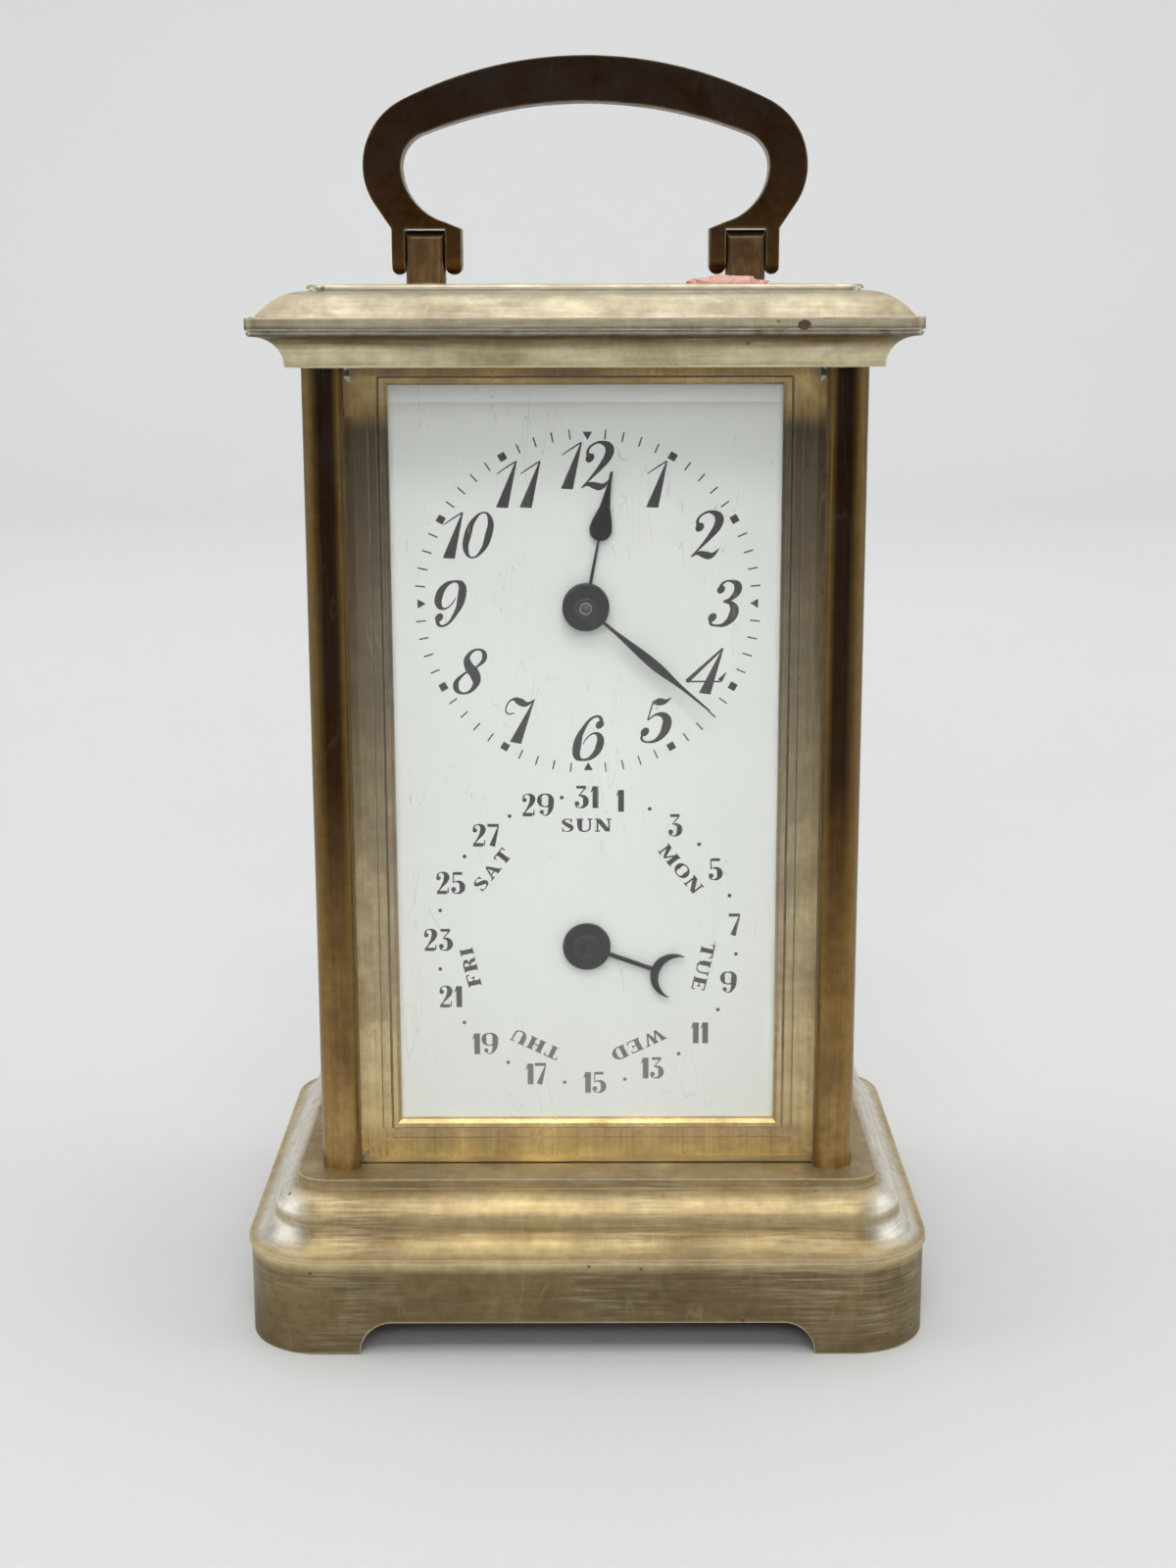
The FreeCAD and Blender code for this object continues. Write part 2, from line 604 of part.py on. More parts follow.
def rod(axis, radius, length, x="0", y="0", z="0"):
    """A cylinder that starts at x, y, z and runs along +X, +Y or +Z."""
    turns = {"X": Rotation(Vector(0, 1, 0), 90), "Y": Rotation(Vector(1, 0, 0), -90), "Z": Rotation()}
    solid = DOC.addObject("Part::Cylinder", "Rod")
    bind(solid, "Radius", radius)
    bind(solid, "Height", length)
    solid.Placement = Placement(Vector(), turns[axis])
    return put(solid, x, y, z)


def gather(kind, members):
    result = DOC.addObject(kind, "Group")
    if kind == "Part::Compound":
        result.Links = members
    else:
        result.Shapes = members
    return result


def cut(base, tool):
    result = DOC.addObject("Part::Cut", "Cut")
    result.Base = base
    result.Tool = tool
    return result


def set_shape(label, shape, x="0", y="0", z="0", rotation=None):
    """A feature whose shape is worked out from the sheet, put in place after it is made."""
    piece = DOC.addObject("Part::Feature", label)
    piece.Shape = shape
    place = Placement(Vector(size(x), size(y), size(z)), rotation or Rotation())
    piece.Placement = place.multiply(shape.Placement)
    return keep(piece, label)


# ---------------------------------------------------------------- case
def make_base():
    body = new_body("base_moulding")
    apron = sketch_on(body, "XY_Plane")
    narrow = "base_width - 2 * arris_inset", "base_depth - 2 * arris_inset"
    draw_outline(apron, rounded_rectangle(*narrow, "base_corner - arris_inset"))
    pad(body, apron, "apron_height - arris_lip")

    path = sketch_on(body, "XY_Plane", "apron_height")
    draw_outline(path, rounded_rectangle("base_width", "base_depth", "base_corner"))
    core = "base_width / 2 - 2 * ogee_radius - base_wall"
    profile = sketch_on(body, "XZ_Plane")
    draw_outline(profile, (
        (core, "apron_height - arris_lip"),
        ("base_width / 2", "apron_height - arris_lip"),
        ("base_width / 2", "apron_height", "ogee_radius", "right"),
        ("base_width / 2 - ogee_radius", "apron_height + ogee_radius", "ogee_radius", "left"),
        ("base_width / 2 - 2 * ogee_radius", "apron_height + 2 * ogee_radius"),
        (core, "apron_height + 2 * ogee_radius"),
    ))
    moulding = body.newObject("PartDesign::AdditivePipe", "base_ogee")
    moulding.Profile = profile
    moulding.Spine = path
    moulding.Transition = "Right corner"

    step = sketch_on(body, "XY_Plane", "apron_height - arris_lip")
    draw_outline(step, rounded_rectangle("step_width", "step_depth", "step_corner"))
    pad(body, step, "deck_top - apron_height + arris_lip")

    cavity = sketch_on(body, "XY_Plane")
    hollow = "base_width - 2 * base_wall", "base_depth - 2 * base_wall"
    draw_outline(cavity, rounded_rectangle(*hollow, "base_corner - base_wall"))
    pocket(body, cavity, "apron_height - arris_lip", reverse=True)
    upper = sketch_on(body, "XY_Plane")
    draw_outline(upper, rounded_rectangle("step_width - 2 * base_wall", "step_depth - 2 * base_wall",
                                          "step_corner"))
    pocket(body, upper, "deck_top - deck_thickness", reverse=True)

    for plane, across in (("XZ_Plane", "base_width"), ("YZ_Plane", "base_depth")):
        arch = sketch_on(body, plane)
        floor_half = f"{across} / 2 - foot_length"
        top_half = f"{floor_half} - foot_arch_radius"
        rise = "foot_arch_height - foot_arch_radius"
        draw_outline(arch, (
            (f"-({floor_half})", "-foot_arch_height"),
            (floor_half, "-foot_arch_height"),
            (floor_half, rise, "foot_arch_radius", "left"),
            (top_half, "foot_arch_height"),
            (f"-({top_half})", "foot_arch_height", "foot_arch_radius", "left"),
            (f"-({floor_half})", rise),
        ))
        pocket(body, arch, "2 * base_width", middle=True)

    holes = sketch_on(body, "XY_Plane", "deck_top")
    for x, y in column_centres():
        draw_circle(holes, x, y, "spigot_radius")
    for y in ("-(plate_front - plate_thickness / 2)", "plate_rear - plate_thickness / 2"):
        for side in ("", "-"):
            draw_circle(holes, f"{side}(plate_width / 2 - plate_screw_inset)", y, "screw_radius")
    pocket(body, holes, "deck_thickness")
    socket = sketch_on(body, "XY_Plane", "deck_top")
    draw_circle(socket, "hinge_x", "hinge_y", "hinge_pin_radius + running_fit")
    pocket(body, socket, "hinge_pin_reach + running_fit")
    keep(body)


def column_centres():
    x, y = "(case_width - column_width) / 2", "(case_depth - column_width) / 2"
    return [(f"{across}({x})", f"{along}({y})") for across in ("", "-") for along in ("", "-")]


def make_column(label, across, along):
    """A column in section, from its outer corner inwards. The signs say which corner it stands at."""
    body = new_body(label)
    section = sketch_on(body, "XY_Plane", "deck_top")
    deep = "column_width - groove_depth"
    near, far = "groove_front", "groove_front + glass_edge + 2 * glass_fit"
    turn = "left" if across * along > 0 else "right"
    inner = "column_width - column_ease"
    corners = [("0", "column_round", "column_round", turn), ("column_round", "0")]
    corners += [(inner, "0", "column_ease", turn), ("column_width", "column_ease")]
    if along < 0:
        corners += [("column_width", near), (deep, near), (deep, far), ("column_width", far)]
    corners += [("column_width", "column_width")]
    corners += [(far, "column_width"), (far, deep), (near, deep), (near, "column_width")]
    corners += [("column_ease", "column_width", "column_ease", turn), ("0", inner)]
    placed = []
    for corner in corners:
        x = f"{across} * (case_width / 2 - ({corner[0]}))"
        y = f"{along} * (case_depth / 2 - ({corner[1]}))"
        placed.append((x, y) + tuple(corner[2:]))
    draw_outline(section, placed)
    pad(body, section, "column_height")
    middle_x = f"{across} * (case_width - column_width) / 2"
    middle_y = f"{along} * (case_depth - column_width) / 2"
    spigot = sketch_on(body, "XY_Plane", "lid_low")
    draw_circle(spigot, middle_x, middle_y, "spigot_radius")
    pad(body, spigot, "spigot_length")
    tapped = sketch_on(body, "XY_Plane", "deck_top")
    draw_circle(tapped, middle_x, middle_y, "spigot_radius")
    pocket(body, tapped, "2 * spigot_length", reverse=True)
    keep(body)


def make_column_screws():
    screws = []
    for x, y in column_centres():
        head = rod("Z", "screw_head_radius", "screw_head", x, y, "deck_top - deck_thickness - screw_head")
        shank = rod("Z", "spigot_radius", "deck_thickness + 2 * spigot_length", x, y,
                    "deck_top - deck_thickness")
        screws.append(gather("Part::MultiFuse", [head, shank]))
    keep(gather("Part::Compound", screws), "column_screws")


def lid_profile(across):
    """The lid's right-hand edge for one direction, from the underside up."""
    foot = f"{across} / 2 - lid_inset"
    lip = f"{across} / 2 - lid_reveal"
    crest = f"{across} / 2 - lid_ledge"
    return (
        (foot, "lid_low"),
        (foot, "cove_low", "lid_cove", "right"),
        (f"{foot} + lid_cove", "lip_low", "lid_lip", "left"),
        (lip, "lip_high"),
        (f"{lip} - lid_joint", "lip_high"),
        (f"{lip} - lid_joint", "band_low"),
        (f"{across} / 2", "band_low"),
        (f"{across} / 2", "band_high"),
        (crest, "band_high", "lid_torus_radius", "left"),
        (f"{crest} - lid_torus_run", "lid_high"),
    )


def make_lid():
    """The mitred moulding is what two long mouldings share where they cross."""
    halves = []
    runs = ("XZ_Plane", "lid_width", "lid_depth"), ("YZ_Plane", "lid_depth", "lid_width")
    for plane, across, along in runs:
        body = new_body(f"lid_run_{plane[:2].lower()}")
        profile = sketch_on(body, plane)
        draw_outline(profile, mirrored(lid_profile(across)))
        pad(body, profile, along, middle=True)
        halves.append(body)
    trim = new_body("lid_trim")
    outline = sketch_on(trim, "XY_Plane", "lid_low")
    draw_outline(outline, rounded_rectangle("lid_width", "lid_depth", "lid_corner"))
    pad(trim, outline, "lid_high - lid_low")
    blank = gather("Part::MultiCommon", halves + [trim])

    quirk = new_body("lid_quirk_cutter")
    ring = sketch_on(quirk, "XY_Plane", "band_high - lid_quirk")
    draw_outline(ring, rounded_rectangle("lid_width - 2 * lid_arris", "lid_depth - 2 * lid_arris",
                                         "lid_corner - lid_arris"))
    inner = "lid_depth / 2 - lid_ledge"
    draw_outline(ring, rectangle("lid_width / 2 - lid_ledge", f"-({inner})", inner))
    pad(quirk, ring, "lid_quirk")

    inner_x = "lid_width / 2 - lid_inset - lid_cavity_wall"
    inner_y = "lid_depth / 2 - lid_inset - lid_cavity_wall"
    cutters = [
        quirk,
        box(f"-({inner_x})", f"-({inner_y})", "lid_low", f"2 * ({inner_x})", f"2 * ({inner_y})",
            "lid_cavity_rise"),
        box("-window_width / 2", "-window_depth / 2", "lid_low", "window_width", "window_depth",
            "lid_high - lid_low"),
        box("-(window_width / 2 + window_rebate)", "-(window_depth / 2 + window_rebate)",
            "lid_high - glass_middle", "window_width + 2 * window_rebate",
            "window_depth + 2 * window_rebate", "glass_middle"),
        rod("Z", "hinge_pin_radius + running_fit", "hinge_pin_reach + running_fit", "hinge_x", "hinge_y",
            "lid_low"),
    ]
    for x, y in column_centres():
        cutters.append(rod("Z", "spigot_radius", "spigot_length", x, y, "lid_low"))
    for side in ("", "-"):
        cutters.append(rod("Z", "post_shank_radius", "post_shank_length - slab_thickness",
                           f"{side}post_place", "0", "slab_high - post_shank_length"))
    keep(cut(blank, gather("Part::MultiFuse", cutters)), "lid_moulding")


def make_slab():
    body = new_body("lid_top_slab")
    levels = []
    for height, inset in (("lid_high", "slab_recess"), ("lid_high + slab_joint", "0"),
                          ("slab_high - slab_bevel", "0"), ("slab_high", "slab_bevel")):
        outline = sketch_on(body, "XY_Plane", height)
        draw_outline(outline, rounded_rectangle(f"slab_width - 2 * {inset}", f"slab_depth - 2 * {inset}",
                                                f"slab_corner - {inset}"))
        levels.append(outline)
    pad(body, levels[0], "slab_thickness - slab_bevel")
    pad(body, levels[1], "slab_thickness - slab_joint - slab_bevel")
    loft(body, levels[2], levels[3])
    holes = sketch_on(body, "XY_Plane", "slab_high")
    draw_outline(holes, rectangle("window_width / 2", "-window_depth / 2", "window_depth / 2"))
    for side in ("", "-"):
        draw_circle(holes, f"{side}post_place", "0", "post_shank_radius")
    pocket(body, holes, "slab_thickness")
    keep(body)


def make_glass(label, plane, half_width, low, high, inner, turned=False):
    """A plate with mitred bevels on its outer side. inner is its flat side's distance from the middle."""
    body = new_body(label)
    edge = sketch_on(body, plane, inner)
    draw_outline(edge, rectangle(half_width, low, high))
    pad(body, edge, "glass_edge")
    shoulder = sketch_on(body, plane, f"{inner} + glass_edge")
    draw_outline(shoulder, rectangle(f"{half_width} - glass_land", f"{low} + glass_land",
                                     f"{high} - glass_land"))
    field = sketch_on(body, plane, f"{inner} + glass_middle")
    inset = "(glass_land + glass_bevel)"
    draw_outline(field, rectangle(f"{half_width} - {inset}", f"{low} + {inset}", f"{high} - {inset}"))
    loft(body, shoulder, field)
    if turned:
        body.Placement = Placement(Vector(), Rotation(Vector(0, 0, 1), 180))
    keep(body)


def make_glasses():
    groove_back = "groove_front + glass_edge + glass_fit"
    front = "opening_half + groove_depth - glass_fit", "deck_top", "lid_low - glass_fit"
    side = "case_depth / 2 - column_width + groove_depth - glass_fit", "deck_top", "lid_low - glass_fit"
    make_glass("front_glass", "XZ_Plane", *front, f"case_depth / 2 - ({groove_back})")
    make_glass("right_glass", "YZ_Plane", *side, f"case_width / 2 - ({groove_back})")
    make_glass("left_glass", "YZ_Plane", *side, f"case_width / 2 - ({groove_back})", turned=True)
    seat = "window_width / 2 + window_rebate - glass_fit"
    depth = "window_depth / 2 + window_rebate - glass_fit"
    make_glass("lid_glass", "XY_Plane", seat, f"-({depth})", depth, "lid_high - glass_middle")


def make_posts():
    posts = []
    for label, side in (("post_left", "-"), ("post_right", "")):
        body = new_body(label)
        section = sketch_on(body, "XY_Plane")
        draw_outline(section, rounded_rectangle("post_width", "post_depth", "post_edge"))
        pad(body, section, "post_height")
        shank = sketch_on(body, "XY_Plane")
        draw_circle(shank, "0", "0", "post_shank_radius")
        pad(body, shank, "post_shank_length", reverse=True)
        crown = sketch_on(body, "YZ_Plane")
        draw_outline(crown, (
            ("-2 * post_crown", "pivot_height"),
            ("-post_crown", "pivot_height", "post_crown", "right"),
            ("0", "post_height", "post_crown", "right"),
            ("post_crown", "pivot_height"),
            ("2 * post_crown", "pivot_height"),
            ("2 * post_crown", "2 * post_height"),
            ("-2 * post_crown", "2 * post_height"),
        ))
        pocket(body, crown, "2 * post_width", middle=True)
        hole = sketch_on(body, "YZ_Plane")
        draw_circle(hole, "0", "pivot_height", "pin_radius + pin_fit")
        pocket(body, hole, "2 * post_width", middle=True)
        posts.append(put(body, f"{side}post_place", "0", "slab_high"))
    keep(gather("Part::Compound", posts), "handle_posts")


def bow(waist, half_width, rise, side_radius, side):
    """Two arcs from the widest place to the top, on the +X or the -X side, in the XZ plane."""
    run = half_width - side_radius
    top_radius = (run ** 2 + rise ** 2 - side_radius ** 2) / (2 * (rise - side_radius))
    turn = math.atan2(top_radius - rise, run)

    def at(centre_x, centre_z, radius, angle):
        return Vector(side * (centre_x + radius * math.cos(angle)), 0,
                      waist + centre_z + radius * math.sin(angle))
    lower = [at(run, 0, side_radius, turn * share) for share in (0, 0.5, 1)]
    angles = (turn, (turn + math.pi / 2) / 2, math.pi / 2)
    upper = [at(0, rise - top_radius, top_radius, angle) for angle in angles]
    return [Part.Arc(*lower), Part.Arc(*upper)]


def handle_side(side, slot_out, slot_in):
    """One side of the bail below its widest place, with the fork that stands astride the post."""
    def at(x, z):
        return Vector(side * x, 0, z)
    waist = size("handle_waist - pivot_height")
    half, shoulder = size("handle_half_width"), size("handle_shoulder")
    yoke, drop = size("handle_yoke_height - pivot_height"), size("fork_drop")
    leg_out, leg_in = slot_out + size("fork_outer_leg"), slot_in - size("fork_inner_leg")
    bore = half - size("handle_side_band")
    lean = math.acos(1 - (half - leg_out) / shoulder / 2)
    knee = at(half - shoulder * (1 - math.cos(lean)), waist - shoulder * math.sin(lean))
    knee_middle = at(half - shoulder * (1 - math.cos(lean / 2)), waist - shoulder * math.sin(lean / 2))
    instep_middle, instep = [at(bore - shoulder * across, waist - shoulder * down)
                             for across, down in INSTEP]
    out_low = (leg_out - slot_out) / 2 - drop
    in_low = (slot_in - leg_in) / 2 - drop
    runs = (
        (knee, at(leg_out, yoke), at(leg_out, out_low)),
        (at(slot_out, out_low), at(slot_out, yoke), at(slot_in, yoke), at(slot_in, in_low)),
        (at(leg_in, in_low), at(leg_in, yoke), instep),
    )
    curves = [Part.LineSegment(start, end) for run in runs for start, end in zip(run, run[1:])]
    curves.append(Part.Arc(at(leg_out, out_low), at((leg_out + slot_out) / 2, -drop), at(slot_out, out_low)))
    curves.append(Part.Arc(at(slot_in, in_low), at((slot_in + leg_in) / 2, -drop), at(leg_in, in_low)))
    curves.append(Part.Arc(at(half, waist), knee_middle, knee))
    curves.append(Part.Arc(at(bore, waist), instep_middle, instep))
    return curves


def make_handle():
    """A flat bail with a forked foot astride each post, about the pin's height at z = 0."""
    waist = size("handle_waist - pivot_height")
    half, rise = size("handle_half_width"), size("handle_rise")
    drop, thick = size("fork_drop"), size("handle_thickness")
    slot_out = size("post_place + post_width / 2 + fork_gap")
    slot_in = size("post_place - post_width / 2 - fork_gap")
    leg_out, leg_in = slot_out + size("fork_outer_leg"), slot_in - size("fork_inner_leg")
    curves = []
    for side in (1, -1):
        curves += bow(waist, half, rise, size("handle_side_round"), side)
        curves += bow(waist, half - size("handle_side_band"), rise - size("handle_top_band"),
                      size("handle_inner_round"), side)
        curves += handle_side(side, slot_out, slot_in)
    outline = Part.Wire(Part.__sortEdges__([curve.toShape() for curve in curves]))
    bail = Part.Face(outline).extrude(Vector(0, thick, 0))
    bail.translate(Vector(0, -thick / 2, 0))
    ends = Part.makeCylinder(thick / 2, 2 * half, Vector(-half, 0, thick / 2 - drop), Vector(1, 0, 0))
    above = Part.makeBox(2 * half, thick, rise + waist + drop, Vector(-half, -thick / 2, thick / 2 - drop))
    bail = bail.common(ends.fuse(above))
    for side in (1, -1):
        start = min(side * leg_in, side * leg_out)
        hole = Part.makeCylinder(size("pin_radius"), leg_out - leg_in, Vector(start, 0, 0), Vector(1, 0, 0))
        bail = bail.cut(hole)
    set_shape("handle", bail, "0", "0", "pivot_z")

    pins = []
    for side in ("post_place - post_width / 2 - fork_gap - fork_inner_leg",
                 "-(post_place + post_width / 2 + fork_gap + fork_outer_leg)"):
        reach = "post_width + 2 * fork_gap + fork_inner_leg + fork_outer_leg"
        pins.append(rod("X", "pin_radius", reach, side, "0", "pivot_z"))
    keep(gather("Part::Compound", pins), "handle_pins")


# ---------------------------------------------------------------- rear door
def make_door():
    body = new_body("door_frame")
    plan = sketch_on(body, "XY_Plane", "door_low")
    inner, outer = "door_outer - door_thickness", "door_outer"
    draw_outline(plan, (
        ("-(opening_half - door_gap)", inner),
        ("hinge_x", inner, "door_half_depth", "left"),
        ("hinge_x + door_half_depth", "hinge_y", "door_half_depth", "left"),
        ("hinge_x", outer),
        ("-(opening_half - door_gap)", outer),
    ))
    pad(body, plan, "door_high - door_low")
    half = "opening_half - door_gap - door_border"
    low, high = "door_low + door_border", "door_high - door_border"
    window = sketch_on(body, "XZ_Plane")
    draw_outline(window, rectangle(half, low, high))
    pocket(body, window, "2 * case_depth", middle=True)
    rebate = sketch_on(body, "XZ_Plane", f"-({inner} + glass_edge + glass_fit)")
    draw_outline(rebate, rectangle(f"{half} + door_rebate", f"{low} - door_rebate", f"{high} + door_rebate"))
    pocket(body, rebate, "glass_edge + 2 * glass_fit", reverse=True)
    for end, downwards in (("door_low", True), ("door_high", False)):
        pivot = sketch_on(body, "XY_Plane", end)
        draw_circle(pivot, "hinge_x", "hinge_y", "hinge_pin_radius")
        pad(body, pivot, "door_gap + hinge_pin_reach", reverse=downwards)
    knob_hole = sketch_on(body, "XZ_Plane")
    draw_circle(knob_hole, "-hinge_x", "(door_low + door_high) / 2", "hinge_pin_radius")
    pocket(body, knob_hole, "2 * case_depth", middle=True)
    keep(body)

    make_glass("door_glass", "XZ_Plane", f"{half} + door_rebate - glass_fit",
               f"{low} - door_rebate + glass_fit", f"{high} + door_rebate - glass_fit",
               f"{inner} + glass_fit", turned=True)

    knob = new_body("door_knob")
    profile = sketch_on(knob, "XY_Plane")
    draw_outline(profile, (
        ("0", "-door_thickness"),
        ("hinge_pin_radius", "-door_thickness"),
        ("hinge_pin_radius", "0"),
        ("hinge_pin_radius + 0.5", "0"),
        ("hinge_pin_radius + 0.5", "knob_reach - 2 * knob_radius + 0.5"),
        ("knob_radius", "knob_reach - knob_radius", "knob_radius", "left"),
        ("0", "knob_reach"),
    ))
    revolve(knob, profile, "V_Axis")
    put(knob, "-hinge_x", "door_outer", "(door_low + door_high) / 2")
    keep(knob)


# ---------------------------------------------------------------- dial
def make_dial():
    mask = new_body("dial_mask")
    outline = sketch_on(mask, "XZ_Plane", "-(dial_face)")
    draw_outline(outline, rectangle("opening_half - mask_gap", "deck_top", "lid_low - mask_gap"))
    pad(mask, outline, "mask_thickness")
    top = "mask_thickness + mask_lip_height"
    levels = []
    for height, margin in (("mask_thickness", "mask_lip"), (top, "mask_lip - mask_lip_slope"),
                           (top, "0"), (top, "mask_lip_slope"), (f"{top} - mask_lip_slope", "0")):
        frame = sketch_on(mask, "XZ_Plane", f"-(dial_face) + {height}")
        draw_outline(frame, rectangle(f"dial_width / 2 + {margin}", f"field_low - ({margin})",
                                      f"field_high + {margin}"))
        levels.append(frame)
    loft(mask, levels[0], levels[1])
    pocket(mask, levels[2], top)
    loft(mask, levels[3], levels[4], "PartDesign::SubtractiveLoft")
    keep(mask)

    dial = new_body("dial_plate")
    outline = sketch_on(dial, "XZ_Plane", "-(dial_back)")
    draw_outline(outline, rectangle("dial_width / 2 + dial_lap", "field_low - dial_lap",
                                    "field_high + dial_lap"))
    draw_circle(outline, "0", "time_z", "hour_radius + dial_hole_fit")
    draw_circle(outline, "0", "calendar_z", "stud_radius + dial_hole_fit")
    pad(dial, outline, "dial_thickness")
    keep(dial)

    feet = []
    for side in ("", "-"):
        for z in ("pillar_low", "pillar_high"):
            feet.append(rod("Y", "dial_foot_radius", "-plate_front - (dial_back)",
                            f"{side}(plate_width / 2 - dial_foot_inset)", "dial_back", f"deck_top + {z}"))
    keep(gather("Part::Compound", feet), "dial_feet")


# ---------------------------------------------------------------- movement frame
def pillar_places():
    return [(f"{side}(plate_width / 2 - pillar_inset)", f"deck_top + {z}")
            for side in ("", "-") for z in ("pillar_low", "pillar_high")]


def train_pivots():
    return [("inter_x", "inter_z"), ("third_x", "third_z"), ("contrate_x", "contrate_z")]


def make_plates():
    for label, back in (("front_plate", "front_inner"), ("rear_plate", "plate_rear")):
        body = new_body(label)
        outline = sketch_on(body, "XZ_Plane", f"-({back})")
        draw_outline(outline, rectangle("plate_width / 2", "deck_top", "deck_top + plate_height"))
        for x, z in train_pivots():
            draw_circle(outline, x, z, "pivot_radius + pivot_fit")
        draw_circle(outline, "0", "time_z", "centre_arbor_radius + pivot_fit")
        draw_circle(outline, "0", "barrel_z", "barrel_arbor_radius + pivot_fit")
        if label == "front_plate":
            draw_circle(outline, "0", "calendar_z", "arbor_radius + pivot_fit")
            draw_circle(outline, "0", "idler_z", "stud_radius")
            draw_circle(outline, "minute_x", "minute_z", "stud_radius")
        else:
            for x, z in pillar_places():
                draw_circle(outline, x, z, "screw_radius")
            draw_circle(outline, "click_x", "click_z", "stud_radius")
        pad(body, outline, "plate_thickness")
        foot_holes = sketch_on(body, "XY_Plane", "deck_top")
        for side in ("", "-"):
            draw_circle(foot_holes, f"{side}(plate_width / 2 - plate_screw_inset)",
                        f"{back} - plate_thickness / 2", "screw_tip_radius")
        pocket(body, foot_holes, "screw_reach", reverse=True)
        keep(body)

    gap = "plate_front + plate_rear - 2 * plate_thickness"
    pillars = []
    screws = []
    for x, z in pillar_places():
        pillar = rod("Y", "pillar_radius", gap, x, "-plate_front + plate_thickness", z)
        tip = "plate_rear - plate_thickness - 2 * screw_head"
        tapped = rod("Y", "screw_radius", "2 * screw_head", x, tip, z)
        pillars.append(cut(pillar, tapped))
        shank = rod("Y", "screw_radius", "plate_thickness + 2 * screw_head", x, tip, z)
        head = rod("Y", "screw_head_radius", "screw_head", x, "plate_rear", z)
        screws.append(gather("Part::MultiFuse", [shank, head]))
    keep(gather("Part::Compound", pillars), "plate_pillars")
    for y in ("-(plate_front - plate_thickness / 2)", "plate_rear - plate_thickness / 2"):
        for side in ("", "-"):
            x = f"{side}(plate_width / 2 - plate_screw_inset)"
            under = "deck_top - deck_thickness"
            head = rod("Z", "screw_head_radius", "screw_head", x, y, f"{under} - screw_head")
            shank = rod("Z", "screw_radius", "deck_thickness", x, y, under)
            tip = rod("Z", "screw_tip_radius", "screw_reach", x, y, "deck_top")
            screws.append(gather("Part::MultiFuse", [head, shank, tip]))
    keep(gather("Part::Compound", screws), "movement_screws")


# ---------------------------------------------------------------- turned and toothed pieces
def turned(steps):
    """A stepped shaft along Y, from (radius, start, end) in order."""
    points = [Vector(0, size(steps[0][1]), 0)]
    for radius, start, end in steps:
        points.append(Vector(size(radius), size(start), 0))
        points.append(Vector(size(radius), size(end), 0))
    points.append(Vector(0, size(steps[-1][2]), 0))
    face = Part.Face(Part.makePolygon(points + [points[0]]))
    return face.revolve(Vector(), Vector(0, 1, 0), 360)


def toothed(teeth, module, kind, front, back):
    """A toothed disc about the Y axis, its first tooth on +X. kind is wheel or leaf."""
    count, step = int(size(teeth)), size(module)
    tip = step * (count / 2 + size(f"{kind}_addendum"))
    root = step * (count / 2 - size(f"{kind}_dedendum"))
    root_half = math.pi / count * size(f"{kind}_root_share")
    tip_half = math.pi / count * size(f"{kind}_tip_share")
    points = []
    for index in range(count):
        middle = 2 * math.pi * index / count
        for radius, angle in ((root, middle - root_half), (tip, middle - tip_half),
                              (tip, middle + tip_half), (root, middle + root_half)):
            points.append(Vector(radius * math.cos(angle), size(front), radius * math.sin(angle)))
    face = Part.Face(Part.makePolygon(points + [points[0]]))
    return face.extrude(Vector(0, size(back) - size(front), 0))


def crossed_out(wheel, inner, outer, front, back, spokes):
    """The wheel with windows between its spokes."""
    start, deep = size(front), size(back) - size(front)
    ring = Part.makeCylinder(outer, deep, Vector(0, start, 0), Vector(0, 1, 0))
    ring = ring.cut(Part.makeCylinder(inner, deep, Vector(0, start, 0), Vector(0, 1, 0)))
    width = size("spoke_width")
    for index in range(spokes):
        arm = Part.makeBox(outer, deep, width, Vector(0, start, -width / 2))
        arm.rotate(Vector(), Vector(0, 1, 0), 360 / spokes * index)
        ring = ring.cut(arm)
    return wheel.cut(ring)


def train_wheel(teeth, module, front, back, bore, hub, spokes):
    """A crossed-out wheel with a bore."""
    count, step = size(teeth), size(module)
    rim = step * (count / 2 - size("wheel_dedendum")) - size("spoke_width")
    wheel = toothed(teeth, module, "wheel", front, back)
    wheel = crossed_out(wheel, size(hub), rim, front, back, spokes)
    length = size(back) - size(front)
    return wheel.cut(Part.makeCylinder(size(bore), length, Vector(0, size(front), 0), Vector(0, 1, 0)))


def mesh_phase(phase, teeth, bearing, other_teeth):
    """Where the other wheel's first tooth stands for its gap to take this wheel's tooth.

    Angles are in degrees, from +X towards +Z. bearing is the direction of the other wheel."""
    pitch, other_pitch = 360 / teeth, 360 / other_teeth
    past = ((bearing - phase) / pitch) % 1
    return bearing + 180 + (past + 0.5) * other_pitch


def spun(angle):
    """A turn about the arbor from +X towards +Z."""
    return Rotation(Vector(0, -1, 0), angle)


# ---------------------------------------------------------------- going train
def fuse(first, *others):
    solid = first
    for other in others:
        solid = solid.fuse(other)
    return solid.removeSplitter()


def disc(radius, front, back, x="0", z="0"):
    """A plain round along Y."""
    start = size(front)
    centre = Vector(size(x), start, size(z))
    return Part.makeCylinder(size(radius), size(back) - start, centre, Vector(0, 1, 0))


